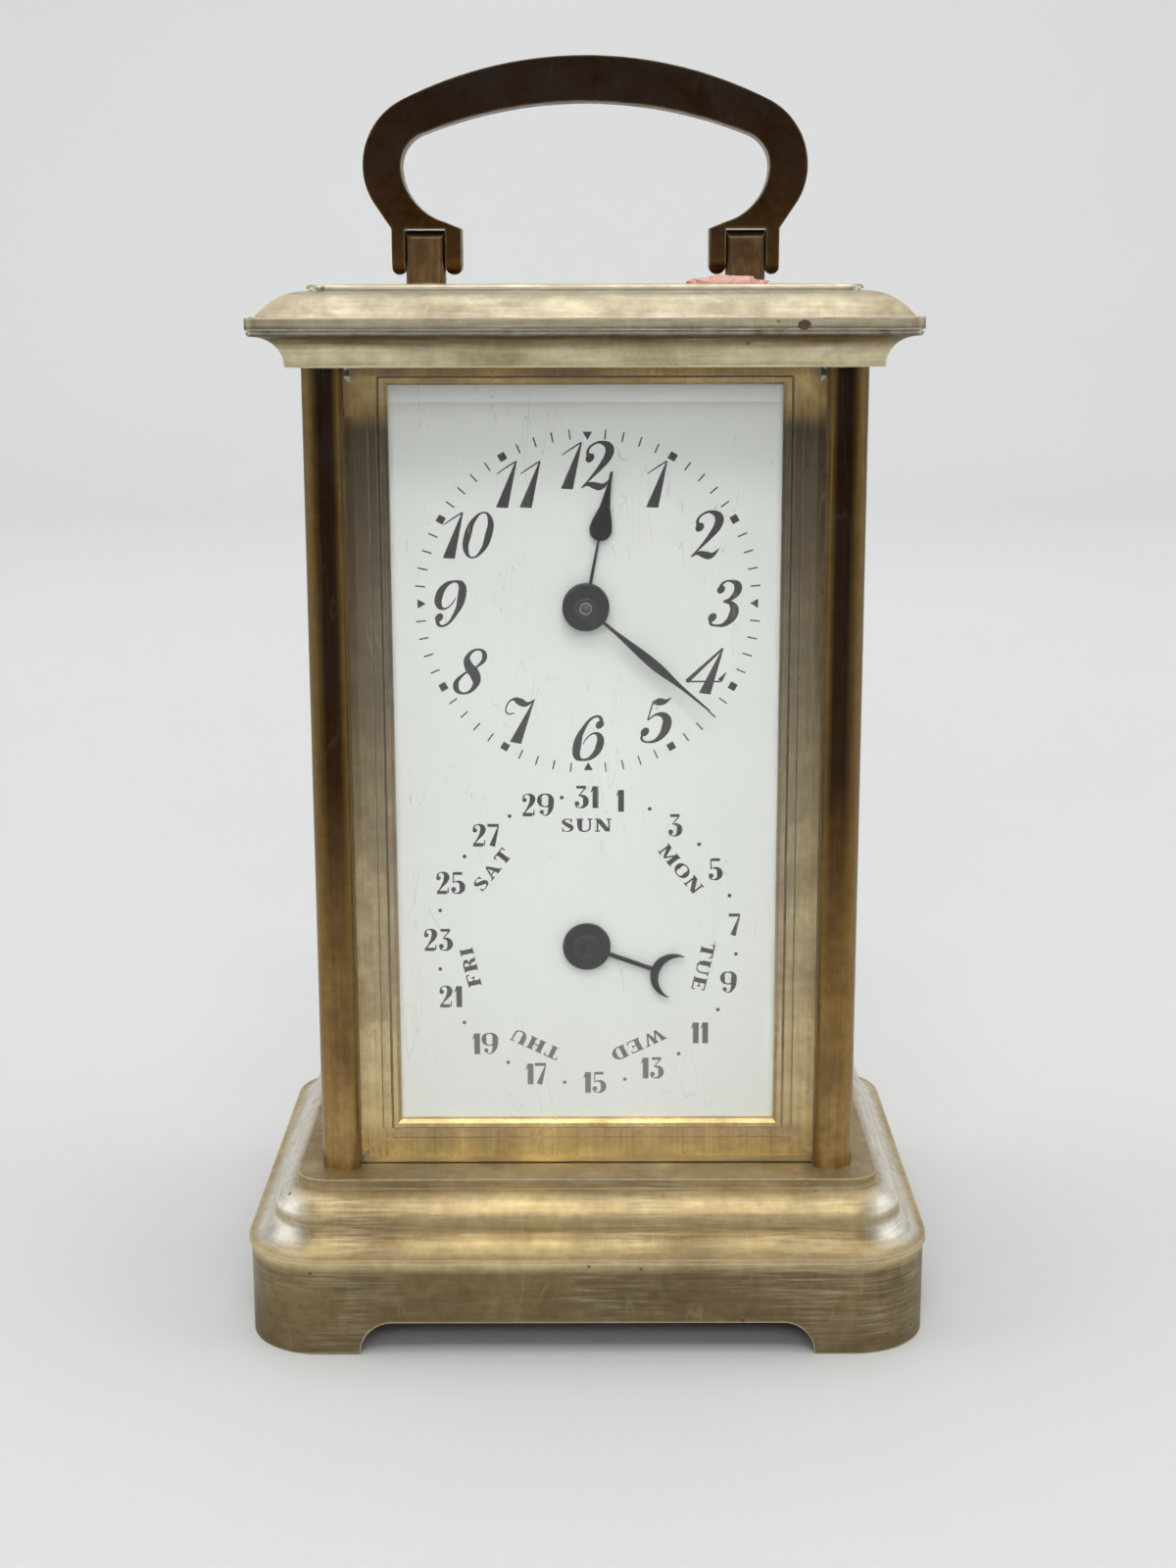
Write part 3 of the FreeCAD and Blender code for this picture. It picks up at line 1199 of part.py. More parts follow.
def saw_toothed(teeth, tip, depth, front, back):
    """A disc about the Y axis with saw teeth, one tip on +X."""
    count = int(size(teeth))
    outer, inner = size(tip), size(f"{tip} - {depth}")
    points = []
    for index in range(count):
        for radius, share in ((inner, index - SAW_SLOPE), (outer, index), (outer, index + SAW_LAND)):
            angle = 2 * math.pi * share / count
            points.append(Vector(radius * math.cos(angle), size(front), radius * math.sin(angle)))
    face = Part.Face(Part.makePolygon(points + [points[0]]))
    return face.extrude(Vector(0, size(back) - size(front), 0))


def coil(inner, outer, turns, blade, low, high):
    """A flat spiral blade about the Y axis, its outer end on +X."""
    start, end, count = size(inner), size(outer), int(size(turns))
    total = count * COIL_STEPS
    sides = [[], []]
    for index in range(total + 1):
        angle = 2 * math.pi * (index - total) / COIL_STEPS
        for side, offset in zip(sides, (0, size(blade))):
            radius = start + offset + (end - start - size(blade)) * index / total
            side.append(Vector(radius * math.cos(angle), size(low), radius * math.sin(angle)))
    points = sides[0] + sides[1][::-1]
    face = Part.Face(Part.makePolygon(points + [points[0]]))
    return face.extrude(Vector(0, size(high) - size(low), 0))


def pivoted(steps):
    """An arbor between the plates: a pivot at each end and the given (radius, start, end) between."""
    front = [("pivot_radius", "-plate_front", "front_inner + end_shake")]
    rear = [("pivot_radius", "rear_inner - end_shake", "plate_rear")]
    return turned(front + steps + rear)


def make_barrel():
    bearing = math.degrees(math.atan2(size("inter_z - barrel_z"), size("inter_x")))
    great = toothed("great_teeth", "great_module", "wheel", "barrel_back", "barrel_back + great_thickness")
    drum = disc("barrel_radius", "-barrel_front", "barrel_back")
    hollow = disc("barrel_radius - barrel_wall", "-barrel_front", "barrel_back")
    bore = disc("barrel_arbor_radius + pivot_fit", "-barrel_front", "barrel_back + great_thickness")
    set_shape("mainspring_barrel", fuse(drum, great).cut(hollow).cut(bore), "0", "0", "barrel_z")
    cap = disc("barrel_radius - barrel_wall", "-barrel_front", "-barrel_front + barrel_wall").cut(bore)
    set_shape("barrel_cap", cap, "0", "0", "barrel_z")
    spring = coil("barrel_core_radius + mainspring_play", "barrel_radius - barrel_wall - mainspring_play",
                  "mainspring_turns", "mainspring_blade", "-barrel_front + barrel_wall + mainspring_play",
                  "barrel_back - mainspring_play")
    set_shape("mainspring", spring, "0", "0", "barrel_z")
    arbor = turned([
        ("barrel_arbor_radius", "-plate_front", "-barrel_front + barrel_wall + barrel_core_play"),
        ("barrel_core_radius", "-barrel_front + barrel_wall + barrel_core_play",
         "barrel_back - barrel_core_play"),
        ("barrel_arbor_radius", "barrel_back - barrel_core_play", "ratchet_back"),
    ])
    set_shape("barrel_arbor", fuse(arbor, square("square_width", "ratchet_back")), "0", "0", "barrel_z")
    ratchet = saw_toothed("ratchet_teeth", "ratchet_radius", "ratchet_tooth", "ratchet_front",
                          "ratchet_back")
    ratchet = ratchet.cut(disc("barrel_arbor_radius", "ratchet_front", "ratchet_back"))
    set_shape("ratchet_wheel", ratchet, "0", "0", "barrel_z")
    return mesh_phase(0, size("great_teeth"), bearing, size("inter_leaves"))


def square(width, start):
    """A square end that points backwards."""
    side, begin = size(width), size(start)
    return Part.makeBox(side, size("square_end") - begin, side, Vector(-side / 2, begin, -side / 2))


def make_click():
    lever = new_body("click")
    outline = sketch_on(lever, "XZ_Plane", "-(ratchet_back)")
    nose = "stud_radius"
    draw_outline(outline, (
        ("0", "-click_length"),
        (nose, "nose_drop - click_length"),
        ("2 * stud_radius", "0", "2 * stud_radius", "left"),
        ("0", "2 * stud_radius", "2 * stud_radius", "left"),
        ("-2 * stud_radius", "0"),
    ))
    pad(lever, outline, "ratchet_thickness")
    hole = sketch_on(lever, "XZ_Plane")
    draw_circle(hole, "0", "0", "stud_radius + running_fit")
    pocket(lever, hole, "2 * plate_rear + 4 * ratchet_thickness", middle=True)
    put(lever, "click_x", "0", "click_z")
    keep(lever)

    spring = new_body("click_spring")
    outline = sketch_on(spring, "XZ_Plane", "-(ratchet_back)")
    near = "2 * stud_radius + click_fit"
    draw_outline(outline, (
        (near, "-stud_radius"),
        ("spring_foot", "-stud_radius"),
        ("spring_foot", "-click_length"),
        ("spring_foot + screw_head_radius", "-click_length"),
        ("spring_foot + screw_head_radius", "hand_thickness"),
        (near, "hand_thickness - stud_radius"),
    ))
    pad(spring, outline, "ratchet_back - plate_rear")
    put(spring, "click_x", "0", "click_z")
    keep(spring)


def make_going_train(inter_phase):
    wheel = train_wheel("inter_teeth", "inter_module", "inter_wheel_place",
                        "inter_wheel_place + wheel_thickness", "arbor_radius", "hub_radius", INTER_SPOKES)
    set_shape("intermediate_wheel", wheel, "inter_x", "0", "inter_z")
    arbor = pivoted([
        ("arbor_radius", "front_inner + end_shake", "inter_wheel_place + wheel_thickness"),
        ("collet_radius", "inter_wheel_place + wheel_thickness",
         "inter_wheel_place + wheel_thickness + collet_thickness"),
        ("arbor_radius", "inter_wheel_place + wheel_thickness + collet_thickness", "rear_inner - end_shake"),
    ])
    pinion = toothed("inter_leaves", "great_module", "leaf", "barrel_back - pinion_lap",
                     "barrel_back + great_thickness + pinion_lap")
    pinion.rotate(Vector(), Vector(0, -1, 0), inter_phase)
    set_shape("intermediate_pinion", fuse(arbor, pinion), "inter_x", "0", "inter_z")

    to_centre = size("inter_bearing") + 180
    phase = mesh_phase(0, size("inter_teeth"), to_centre, size("centre_leaves"))
    pipe = "centre_arbor_radius + pivot_fit + centre_pipe_wall"
    pinion_front = "inter_wheel_place - pinion_lap"
    pinion_back = "inter_wheel_place + wheel_thickness + pinion_lap"
    pipe_end = "centre_wheel_place + wheel_thickness + collet_thickness"
    pinion = toothed("centre_leaves", "inter_module", "leaf", pinion_front, pinion_back)
    pinion = fuse(pinion, disc(pipe, pinion_back, pipe_end))
    pinion = pinion.cut(disc("centre_arbor_radius + pivot_fit", pinion_front, pipe_end))
    set_shape("centre_pinion", pinion, "0", "0", "time_z", spun(phase))
    wheel = train_wheel("centre_teeth", "centre_module", "centre_wheel_place",
                        "centre_wheel_place + wheel_thickness", pipe, "hub_radius", CENTRE_SPOKES)
    set_shape("centre_wheel", wheel, "0", "0", "time_z")

    phase = mesh_phase(0, size("centre_teeth"), size("third_bearing"), size("third_leaves"))
    wheel_back = "third_wheel_place + wheel_thickness"
    arbor = pivoted([
        ("arbor_radius", "front_inner + end_shake", wheel_back),
        ("collet_radius", wheel_back, f"{wheel_back} + collet_thickness"),
        ("arbor_radius", f"{wheel_back} + collet_thickness", "rear_inner - end_shake"),
    ])
    pinion = toothed("third_leaves", "centre_module", "leaf", "centre_wheel_place - pinion_lap",
                     "centre_wheel_place + wheel_thickness + pinion_lap")
    set_shape("third_pinion", fuse(arbor, pinion), "third_x", "0", "third_z", spun(phase))
    wheel = train_wheel("third_teeth", "third_module", "third_wheel_place", wheel_back, "arbor_radius",
                        "hub_radius", INTER_SPOKES)
    set_shape("third_wheel", wheel, "third_x", "0", "third_z")

    phase = mesh_phase(0, size("third_teeth"), size("contrate_bearing"), size("contrate_leaves"))
    arbor = pivoted([
        ("arbor_radius", "front_inner + end_shake", "crown_back"),
        ("collet_radius", "crown_back", "crown_back + collet_thickness"),
        ("arbor_radius", "crown_back + collet_thickness", "rear_inner - end_shake"),
    ])
    pinion = toothed("contrate_leaves", "third_module", "leaf", "third_wheel_place - pinion_lap",
                     f"{wheel_back} + pinion_lap")
    set_shape("contrate_pinion", fuse(arbor, pinion), "contrate_x", "0", "contrate_z", spun(phase))
    set_shape("contrate_wheel", crown_wheel(), "contrate_x", "0", "contrate_z")


def crown_wheel():
    """A wheel whose teeth point forwards, the first of them on +X."""
    outer, inner = "crown_radius + crown_rim / 2", "crown_radius - crown_rim / 2"
    web = disc(outer, "crown_back - crown_web", "crown_back")
    web = crossed_out(web, size("hub_radius"), size(inner), "crown_back - crown_web", "crown_back",
                      INTER_SPOKES)
    rim = disc(outer, "crown_tip", "crown_back").cut(disc(inner, "crown_tip", "crown_back"))
    wheel = fuse(web, rim).cut(disc("arbor_radius", "crown_tip", "crown_back"))
    tooth_pitch = size("contrate_module") * math.pi
    tip_gap = tooth_pitch * (1 - size("wheel_tip_share")) / 2
    root_gap = tooth_pitch * (1 - size("wheel_root_share")) / 2
    tip, root = size("crown_tip"), size("crown_tip + (wheel_addendum + wheel_dedendum) * contrate_module")
    start, reach = size(inner) - root_gap, size("crown_rim") + 2 * root_gap
    section = [Vector(start, tip, -tip_gap), Vector(start, tip, tip_gap),
               Vector(start, root, root_gap), Vector(start, root, -root_gap)]
    gap = Part.Face(Part.makePolygon(section + [section[0]])).extrude(Vector(reach, 0, 0))
    gaps = []
    for index in range(int(size("contrate_teeth"))):
        slot = gap.copy()
        slot.rotate(Vector(), Vector(0, -1, 0), 360 / size("contrate_teeth") * (index + 0.5))
        gaps.append(slot)
    return wheel.cut(gaps)


# ---------------------------------------------------------------- hands and motion work
def hand_blade(side, front, back):
    """A flat blade along +Z from its right-hand side, as (half width, distance) from the hub out."""
    right = [Vector(across, front, along) for across, along in side]
    left = [Vector(-across, front, along) for across, along in reversed(side)]
    points = right + left
    return Part.Face(Part.makePolygon(points + [points[0]])).extrude(Vector(0, back - front, 0))


def make_hands():
    front, back = size("hour_hand_front"), size("hour_hand_back")
    stem, bulb, place = size("hand_stem"), size("hour_bulb_radius"), size("hour_bulb_place")
    tip = size("hour_hand_length")
    side = [(stem, 0), (stem / 2, place - bulb)]
    for step in range(1, BULB_STEPS + 1):
        angle = math.pi / 2 * (step / BULB_STEPS - 1)
        side.append((bulb * math.cos(angle), place + bulb * math.sin(angle)))
    for share, width in HOUR_TAPER:
        side.append((bulb * width, place + (tip - place) * share))
    hand = fuse(hand_blade(side, front, back), disc("hour_hand_hub", "hour_hand_front", "hour_hand_back"))
    hand = hand.cut(disc("hour_radius", "hour_hand_front", "hour_hand_back"))
    clockwise = Vector(0, 1, 0)
    set_shape("hour_hand", hand, "0", "0", "time_z", Rotation(clockwise, size("hour_hand_angle")))

    back = size("minute_hand_back")
    front = back - size("hand_thickness")
    leaf, place = size("minute_leaf_width") / 2, size("minute_leaf_place")
    tip = size("minute_hand_length")
    side = [(stem / 2, 0), (stem / 2, place * MINUTE_WAIST)]
    side += [(leaf * width, place + (tip - place) * share) for share, width in MINUTE_TAPER]
    hub = disc("minute_hand_hub", "minute_hand_front", "minute_hand_back")
    hand = fuse(hand_blade(side, front, back), hub)
    hand = hand.cut(disc("cannon_bore", "minute_hand_front", "minute_hand_back"))
    set_shape("minute_hand", hand, "0", "0", "time_z", Rotation(clockwise, size("minute_hand_angle")))

    front, back = size("hour_hand_front"), size("hour_hand_back")
    place, round_radius = size("calendar_crescent_place"), size("calendar_crescent_radius")
    flat = hand_blade([(stem, 0), (stem, place - round_radius + stem)], front, back)
    crescent = disc("calendar_crescent_radius", "hour_hand_front", "hour_hand_back",
                    z="calendar_crescent_place")
    crescent = crescent.cut(disc("calendar_crescent_radius", "hour_hand_front", "hour_hand_back",
                                 z="calendar_crescent_place + calendar_crescent_shift"))
    hub = disc("calendar_hub", "hour_hand_front", "hour_hand_back")
    boss = disc("collet_radius", "calendar_hand_front", "hour_hand_front")
    hand = fuse(hub, flat, crescent, boss).cut(disc("arbor_radius", "calendar_hand_front", "hour_hand_back"))
    calendar_turn = Rotation(clockwise, size("calendar_hand_angle"))
    set_shape("calendar_hand", hand, "0", "0", "calendar_z", calendar_turn)


def make_motion_work():
    tip = "minute_hand_front - end_shake"
    arbor = turned([("cannon_bore", tip, "first_layer + layer_thickness"),
                    ("centre_arbor_radius", "first_layer + layer_thickness", "ratchet_front")])
    set_shape("centre_arbor", fuse(arbor, square("setting_width", "ratchet_front")), "0", "0", "time_z")

    back = "first_layer + layer_thickness"
    cannon = fuse(toothed("cannon_teeth", "motion_module", "leaf", "first_layer", back),
                  disc("cannon_radius", "minute_hand_back", back))
    cannon = cannon.cut(disc("cannon_bore", "minute_hand_back", back))
    set_shape("cannon_pinion", cannon, "0", "0", "time_z")

    bearing = size("minute_bearing")
    phase = mesh_phase(0, size("cannon_teeth"), bearing, size("minute_teeth"))
    wheel = fuse(toothed("minute_teeth", "motion_module", "wheel", "first_layer", back),
                 toothed("minute_leaves", "hour_module", "leaf", "second_layer", "first_layer"))
    wheel = wheel.cut(disc("stud_radius + running_fit", "second_layer", back))
    set_shape("minute_wheel", wheel, "minute_x", "0", "minute_z", spun(phase))

    phase = mesh_phase(phase, size("minute_leaves"), bearing + 180, size("hour_teeth"))
    wheel = toothed("hour_teeth", "hour_module", "wheel", "second_layer", "second_layer + layer_thickness")
    wheel.rotate(Vector(), Vector(0, -1, 0), phase)
    pinion = toothed("hour_leaves", "idler_module", "leaf", "third_layer", "second_layer")
    pipe = disc("hour_radius", "hour_hand_front", "second_layer")
    wheel = fuse(wheel, pinion, pipe)
    wheel = wheel.cut(disc("hour_bore", "hour_hand_front", "second_layer + layer_thickness"))
    set_shape("hour_wheel", wheel, "0", "0", "time_z")

    phase = mesh_phase(0, size("hour_leaves"), -90, size("idler_teeth"))
    wheel = toothed("idler_teeth", "idler_module", "wheel", "third_layer", "third_layer + layer_thickness")
    rim = size("idler_module * (idler_teeth / 2 - wheel_dedendum) - spoke_width")
    wheel = crossed_out(wheel, size("hub_radius"), rim, "third_layer", "third_layer + layer_thickness",
                        CENTRE_SPOKES)
    pinion = toothed("idler_leaves", "calendar_module", "leaf", "fourth_layer", "third_layer")
    wheel = fuse(wheel, pinion)
    wheel = wheel.cut(disc("stud_radius + running_fit", "fourth_layer", "third_layer + layer_thickness"))
    set_shape("calendar_idler", wheel, "0", "0", "idler_z", spun(phase))

    phase = mesh_phase(phase, size("idler_leaves"), -90, size("calendar_teeth"))
    wheel = train_wheel("calendar_teeth", "calendar_module", "fourth_layer",
                        "fourth_layer + layer_thickness", "arbor_radius", "hub_radius", CENTRE_SPOKES)
    arbor = turned([("arbor_radius", "calendar_hand_front - end_shake", "front_inner")])
    set_shape("calendar_wheel", fuse(wheel, arbor), "0", "0", "calendar_z", spun(phase))

    studs = []
    for x, z, front in (("minute_x", "minute_z", "second_layer"), ("0", "idler_z", "fourth_layer")):
        length = f"front_inner - ({front}) + running_fit"
        pin = rod("Y", "stud_radius", length, x, f"{front} - running_fit", z)
        head = rod("Y", "collet_radius", "layer_gap", x, f"{front} - running_fit - layer_gap", z)
        studs.append(gather("Part::MultiFuse", [pin, head]))
    length = "ratchet_back + running_fit - rear_inner"
    pin = rod("Y", "stud_radius", length, "click_x", "rear_inner", "click_z")
    head = rod("Y", "collet_radius", "layer_gap", "click_x", "ratchet_back + running_fit", "click_z")
    studs.append(gather("Part::MultiFuse", [pin, head]))
    keep(gather("Part::Compound", studs), "wheel_and_click_studs")


# ---------------------------------------------------------------- platform escapement
def flat(points, low, high):
    """A prism from a closed outline in the XY plane."""
    base = [Vector(x, y, low) for x, y in points]
    return Part.Face(Part.makePolygon(base + [base[0]])).extrude(Vector(0, 0, high - low))


def upright(radius, low, high, x=0, y=0):
    start = size(low)
    return Part.makeCylinder(size(radius), size(high) - start, Vector(x, y, start))


def on_platform(body):
    """Turns the body's +X from the escape arbor towards the balance."""
    body.Placement = Placement(Vector(), Rotation(Vector(0, 0, 1), size("platform_bearing")))
    put(body, "escape_x", "escape_y", "platform_top")
    return keep(body)


def make_platform():
    plate = new_body("platform_plate")
    outline = sketch_on(plate, "XY_Plane", "platform_z")
    draw_outline(outline, rectangle("platform_width / 2", "-platform_front", "platform_back"))
    draw_circle(outline, "escape_x", "escape_y", "platform_hole")
    draw_circle(outline, "lever_x", "lever_y", "pivot_radius")
    draw_circle(outline, "balance_x", "balance_y", "pivot_radius + pivot_fit")
    pad(plate, outline, "platform_thickness")
    keep(plate)

    potence = new_body("escape_potence")
    front = "potence_depth / 2 - escape_y"
    profile = sketch_on(potence, "XZ_Plane", front)
    leg = "escape_x + potence_leg"
    low = "platform_z - potence_drop"
    draw_outline(profile, (
        ("escape_x - arbor_radius", low),
        (f"{leg} + potence_width", low),
        (f"{leg} + potence_width", "platform_z"),
        (leg, "platform_z"),
        (leg, f"{low} + potence_arm"),
        ("escape_x - arbor_radius", f"{low} + potence_arm"),
    ))
    pad(potence, profile, "potence_depth", reverse=True)
    hole = sketch_on(potence, "XY_Plane", f"{low} + potence_arm")
    draw_circle(hole, "escape_x", "escape_y", "pivot_radius / 2 + pivot_fit")
    pocket(potence, hole, "potence_arm")
    keep(potence)

    bridge = new_body("escape_bridge")
    near, far = "escape_radius + foot_gap", "escape_radius + foot_gap + foot_size"
    bar = sketch_on(bridge, "XY_Plane", "bridge_lift")
    draw_outline(bar, (
        (f"-({far})", "-foot_size / 2"),
        (f"-({near})", "-foot_size / 2"),
        ("lever_place", "-spoke_width", "spoke_width", "left"),
        ("lever_place + spoke_width", "0", "spoke_width", "left"),
        ("lever_place", "spoke_width"),
        (f"-({near})", "foot_size / 2"),
        (f"-({far})", "foot_size / 2"),
    ))
    draw_circle(bar, "0", "0", "pivot_radius / 2 + pivot_fit")
    draw_circle(bar, "lever_place", "0", "pivot_radius / 2 + pivot_fit")
    pad(bridge, bar, "bridge_thickness")
    foot = sketch_on(bridge, "XY_Plane")
    draw_outline(foot, ((f"-({far})", "-foot_size / 2"), (f"-({near})", "-foot_size / 2"),
                        (f"-({near})", "foot_size / 2"), (f"-({far})", "foot_size / 2")))
    pad(bridge, foot, "bridge_lift")
    on_platform(bridge)

    cock = new_body("balance_cock")
    near = "balance_place + balance_radius + foot_gap"
    far = f"{near} + foot_size"
    arm = sketch_on(cock, "XY_Plane", "cock_lift")
    draw_outline(arm, (
        ("balance_place", "cock_width / 2", "cock_width / 2", "left"),
        ("balance_place - cock_width / 2", "0", "cock_width / 2", "left"),
        ("balance_place", "-cock_width / 2"),
        (far, "-cock_width / 2"),
        (far, "cock_width / 2"),
    ))
    draw_circle(arm, "balance_place", "0", "pivot_radius / 2 + pivot_fit")
    pad(cock, arm, "cock_thickness")
    foot = sketch_on(cock, "XY_Plane")
    draw_outline(foot, ((near, "-cock_width / 2"), (far, "-cock_width / 2"), (far, "cock_width / 2"),
                        (near, "cock_width / 2")))
    pad(cock, foot, "cock_lift")
    stud = sketch_on(cock, "XY_Plane", "spring_lift")
    stud_near = "balance_place + spring_outer"
    draw_outline(stud, ((stud_near, "-pivot_radius"), (f"{stud_near} + arbor_radius", "-pivot_radius"),
                        (f"{stud_near} + arbor_radius", "pivot_radius"), (stud_near, "pivot_radius")))
    pad(cock, stud, "cock_lift - spring_lift")
    on_platform(cock)


def make_escapement():
    turn = Rotation(Vector(0, 0, 1), size("platform_bearing"))
    low = "platform_z - potence_drop + potence_arm + end_shake"
    pinion_low = "crown_mesh_z - escape_pinion_length / 2"
    pinion_high = "crown_mesh_z + escape_pinion_length / 2"
    pitch = 360 / size("contrate_teeth")
    leaves = size("escape_leaves")
    leaf_angle = 90 + (0.5 - (90 / pitch) % 1) * 360 / leaves
    pinion = toothed("escape_leaves", "contrate_module", "leaf", pinion_low, pinion_high)
    pinion.rotate(Vector(), Vector(1, 0, 0), 90)
    pinion.rotate(Vector(), Vector(0, 0, 1), leaf_angle)
    arbor = fuse(
        upright("pivot_radius / 2", "platform_z - potence_drop", low),
        upright("pivot_radius", low, pinion_high),
        upright("pivot_radius", pinion_high, "platform_top + bridge_lift - end_shake"),
        upright("pivot_radius / 2", "platform_top + bridge_lift - end_shake",
                "platform_top + bridge_lift + bridge_thickness"),
    )
    set_shape("escape_pinion", fuse(arbor, pinion), "escape_x", "escape_y")

    wheel = saw_toothed("escape_teeth", "escape_radius", "escape_tooth", "escape_z",
                        "escape_z + escape_thickness")
    wheel = wheel.cut(disc("pivot_radius", "escape_z", "escape_z + escape_thickness"))
    wheel.rotate(Vector(), Vector(1, 0, 0), 90)
    set_shape("escape_wheel", wheel, "escape_x", "escape_y", "0", turn)

    place, far = size("lever_place"), size("balance_place")
    side = [(place * along, place * across) for along, across in PALLETS]
    side += [(far * along, far * across) for along, across in FORK]
    outline = side + [(along, -across) for along, across in reversed(side)]
    lever = flat(outline, size("lever_z"), size("lever_z + lever_thickness"))
    bridge = "platform_top + bridge_lift"
    staff = [
        upright("pivot_radius / 2", "platform_z", "lever_z - end_shake", place),
        upright("pivot_radius", "lever_z - end_shake", f"{bridge} - end_shake", place),
        upright("pivot_radius / 2", f"{bridge} - end_shake", f"{bridge} + bridge_thickness", place),
    ]
    set_shape("pallet_lever", fuse(lever, *staff), "escape_x", "escape_y", "0", turn)

    low, high = size("platform_top + balance_lift"), size("platform_top + balance_lift + balance_rim")
    outer, rim = size("balance_radius"), size("balance_rim")
    wheel = Part.makeCylinder(outer, rim, Vector(0, 0, low))
    wheel = wheel.cut(Part.makeCylinder(outer - rim, rim, Vector(0, 0, low)))
    arm = Part.makeBox(2 * outer - rim, rim, rim / 2, Vector(rim / 2 - outer, -rim / 2, low))
    hub = Part.makeCylinder(size("roller_radius"), rim, Vector(0, 0, low))
    wheel = fuse(wheel, arm, hub)
    wheel = wheel.cut(Part.makeCylinder(size("staff_radius"), rim, Vector(0, 0, low)))
    set_shape("balance_wheel", wheel, "balance_x", "balance_y")

    cock = "platform_top + cock_lift"
    roller = "platform_top + roller_lift"
    pin = Vector(-size("impulse_place"), 0, 0)
    pin_turned = turn.multVec(pin)
    staff = fuse(
        upright("staff_radius", "platform_z", f"{cock} - end_shake"),
        upright("pivot_radius / 2", f"{cock} - end_shake", f"{cock} + cock_thickness"),
        upright("roller_radius", roller, f"{roller} + roller_thickness"),
        upright("impulse_radius", f"{roller} - impulse_drop", roller, pin_turned.x, pin_turned.y),
        upright("spring_inner - spring_blade", "platform_top + spring_lift",
                "platform_top + spring_lift + spring_height"),
    )
    set_shape("balance_staff", staff, "balance_x", "balance_y")

    spring = coil("spring_inner", "spring_outer", "spring_turns", "spring_blade",
                  "platform_top + spring_lift", "platform_top + spring_lift + spring_height")
    spring.rotate(Vector(), Vector(1, 0, 0), 90)
    set_shape("hairspring", spring, "balance_x", "balance_y", "0", turn)


def main():
    fill_sheet()
    make_base()
    for label, across, along in (("column_front_left", -1, -1), ("column_front_right", 1, -1),
                                 ("column_rear_left", -1, 1), ("column_rear_right", 1, 1)):
        make_column(label, across, along)
    make_column_screws()
    make_lid()
    make_slab()
    make_glasses()
    make_posts()
    make_handle()
    make_door()
    make_dial()
    make_plates()
    inter_phase = make_barrel()
    make_click()
    make_going_train(inter_phase)
    make_hands()
    make_motion_work()
    make_platform()
    make_escapement()
    DOC.recompute()


def export():
    os.makedirs("parts", exist_ok=True)
    for item in DOC.Objects:
        if "Invalid" in item.State or "Error" in item.State:
            raise RuntimeError(f"{item.Label} failed: {item.State}")
    for piece in PIECES:
        if piece.Shape.isNull() or not piece.Shape.isValid() or not piece.Shape.Solids:
            raise RuntimeError(f"{piece.Label} has no valid solid")
        piece.Shape.exportStep(f"parts/{piece.Label}.step")


main()
export()
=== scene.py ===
"""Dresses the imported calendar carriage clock: finishes, dial printing, small fittings and the studio round it."""

import json
import math

import bmesh
import bpy
from mathutils import Matrix, Vector, noise

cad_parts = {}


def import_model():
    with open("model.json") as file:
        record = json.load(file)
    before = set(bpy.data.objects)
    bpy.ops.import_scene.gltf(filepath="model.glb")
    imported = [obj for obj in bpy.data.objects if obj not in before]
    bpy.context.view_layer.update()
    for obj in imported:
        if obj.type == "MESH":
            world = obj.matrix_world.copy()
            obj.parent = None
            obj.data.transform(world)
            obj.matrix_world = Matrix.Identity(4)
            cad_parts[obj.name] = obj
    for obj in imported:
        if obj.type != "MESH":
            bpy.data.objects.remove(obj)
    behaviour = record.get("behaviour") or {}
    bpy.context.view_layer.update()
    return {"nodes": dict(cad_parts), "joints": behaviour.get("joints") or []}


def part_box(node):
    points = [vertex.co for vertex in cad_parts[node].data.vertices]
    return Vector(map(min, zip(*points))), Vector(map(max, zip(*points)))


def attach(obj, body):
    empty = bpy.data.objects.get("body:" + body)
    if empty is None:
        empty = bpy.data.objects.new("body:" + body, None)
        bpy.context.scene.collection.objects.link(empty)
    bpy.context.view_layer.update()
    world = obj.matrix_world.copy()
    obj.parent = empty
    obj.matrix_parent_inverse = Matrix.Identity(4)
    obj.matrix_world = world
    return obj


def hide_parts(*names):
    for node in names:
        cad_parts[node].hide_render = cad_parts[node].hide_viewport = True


MM = 0.001

# Camera: a long lens a little above the lid, tipped down at the clock.
LENS = 52.77
CAMERA_PLACE = Vector((1.2, -320.4, 140.0)) * MM
CAMERA_TIP = math.radians(12.39)
CAMERA_ROLL = math.radians(0.11)
CAMERA_SHIFT = -0.0041

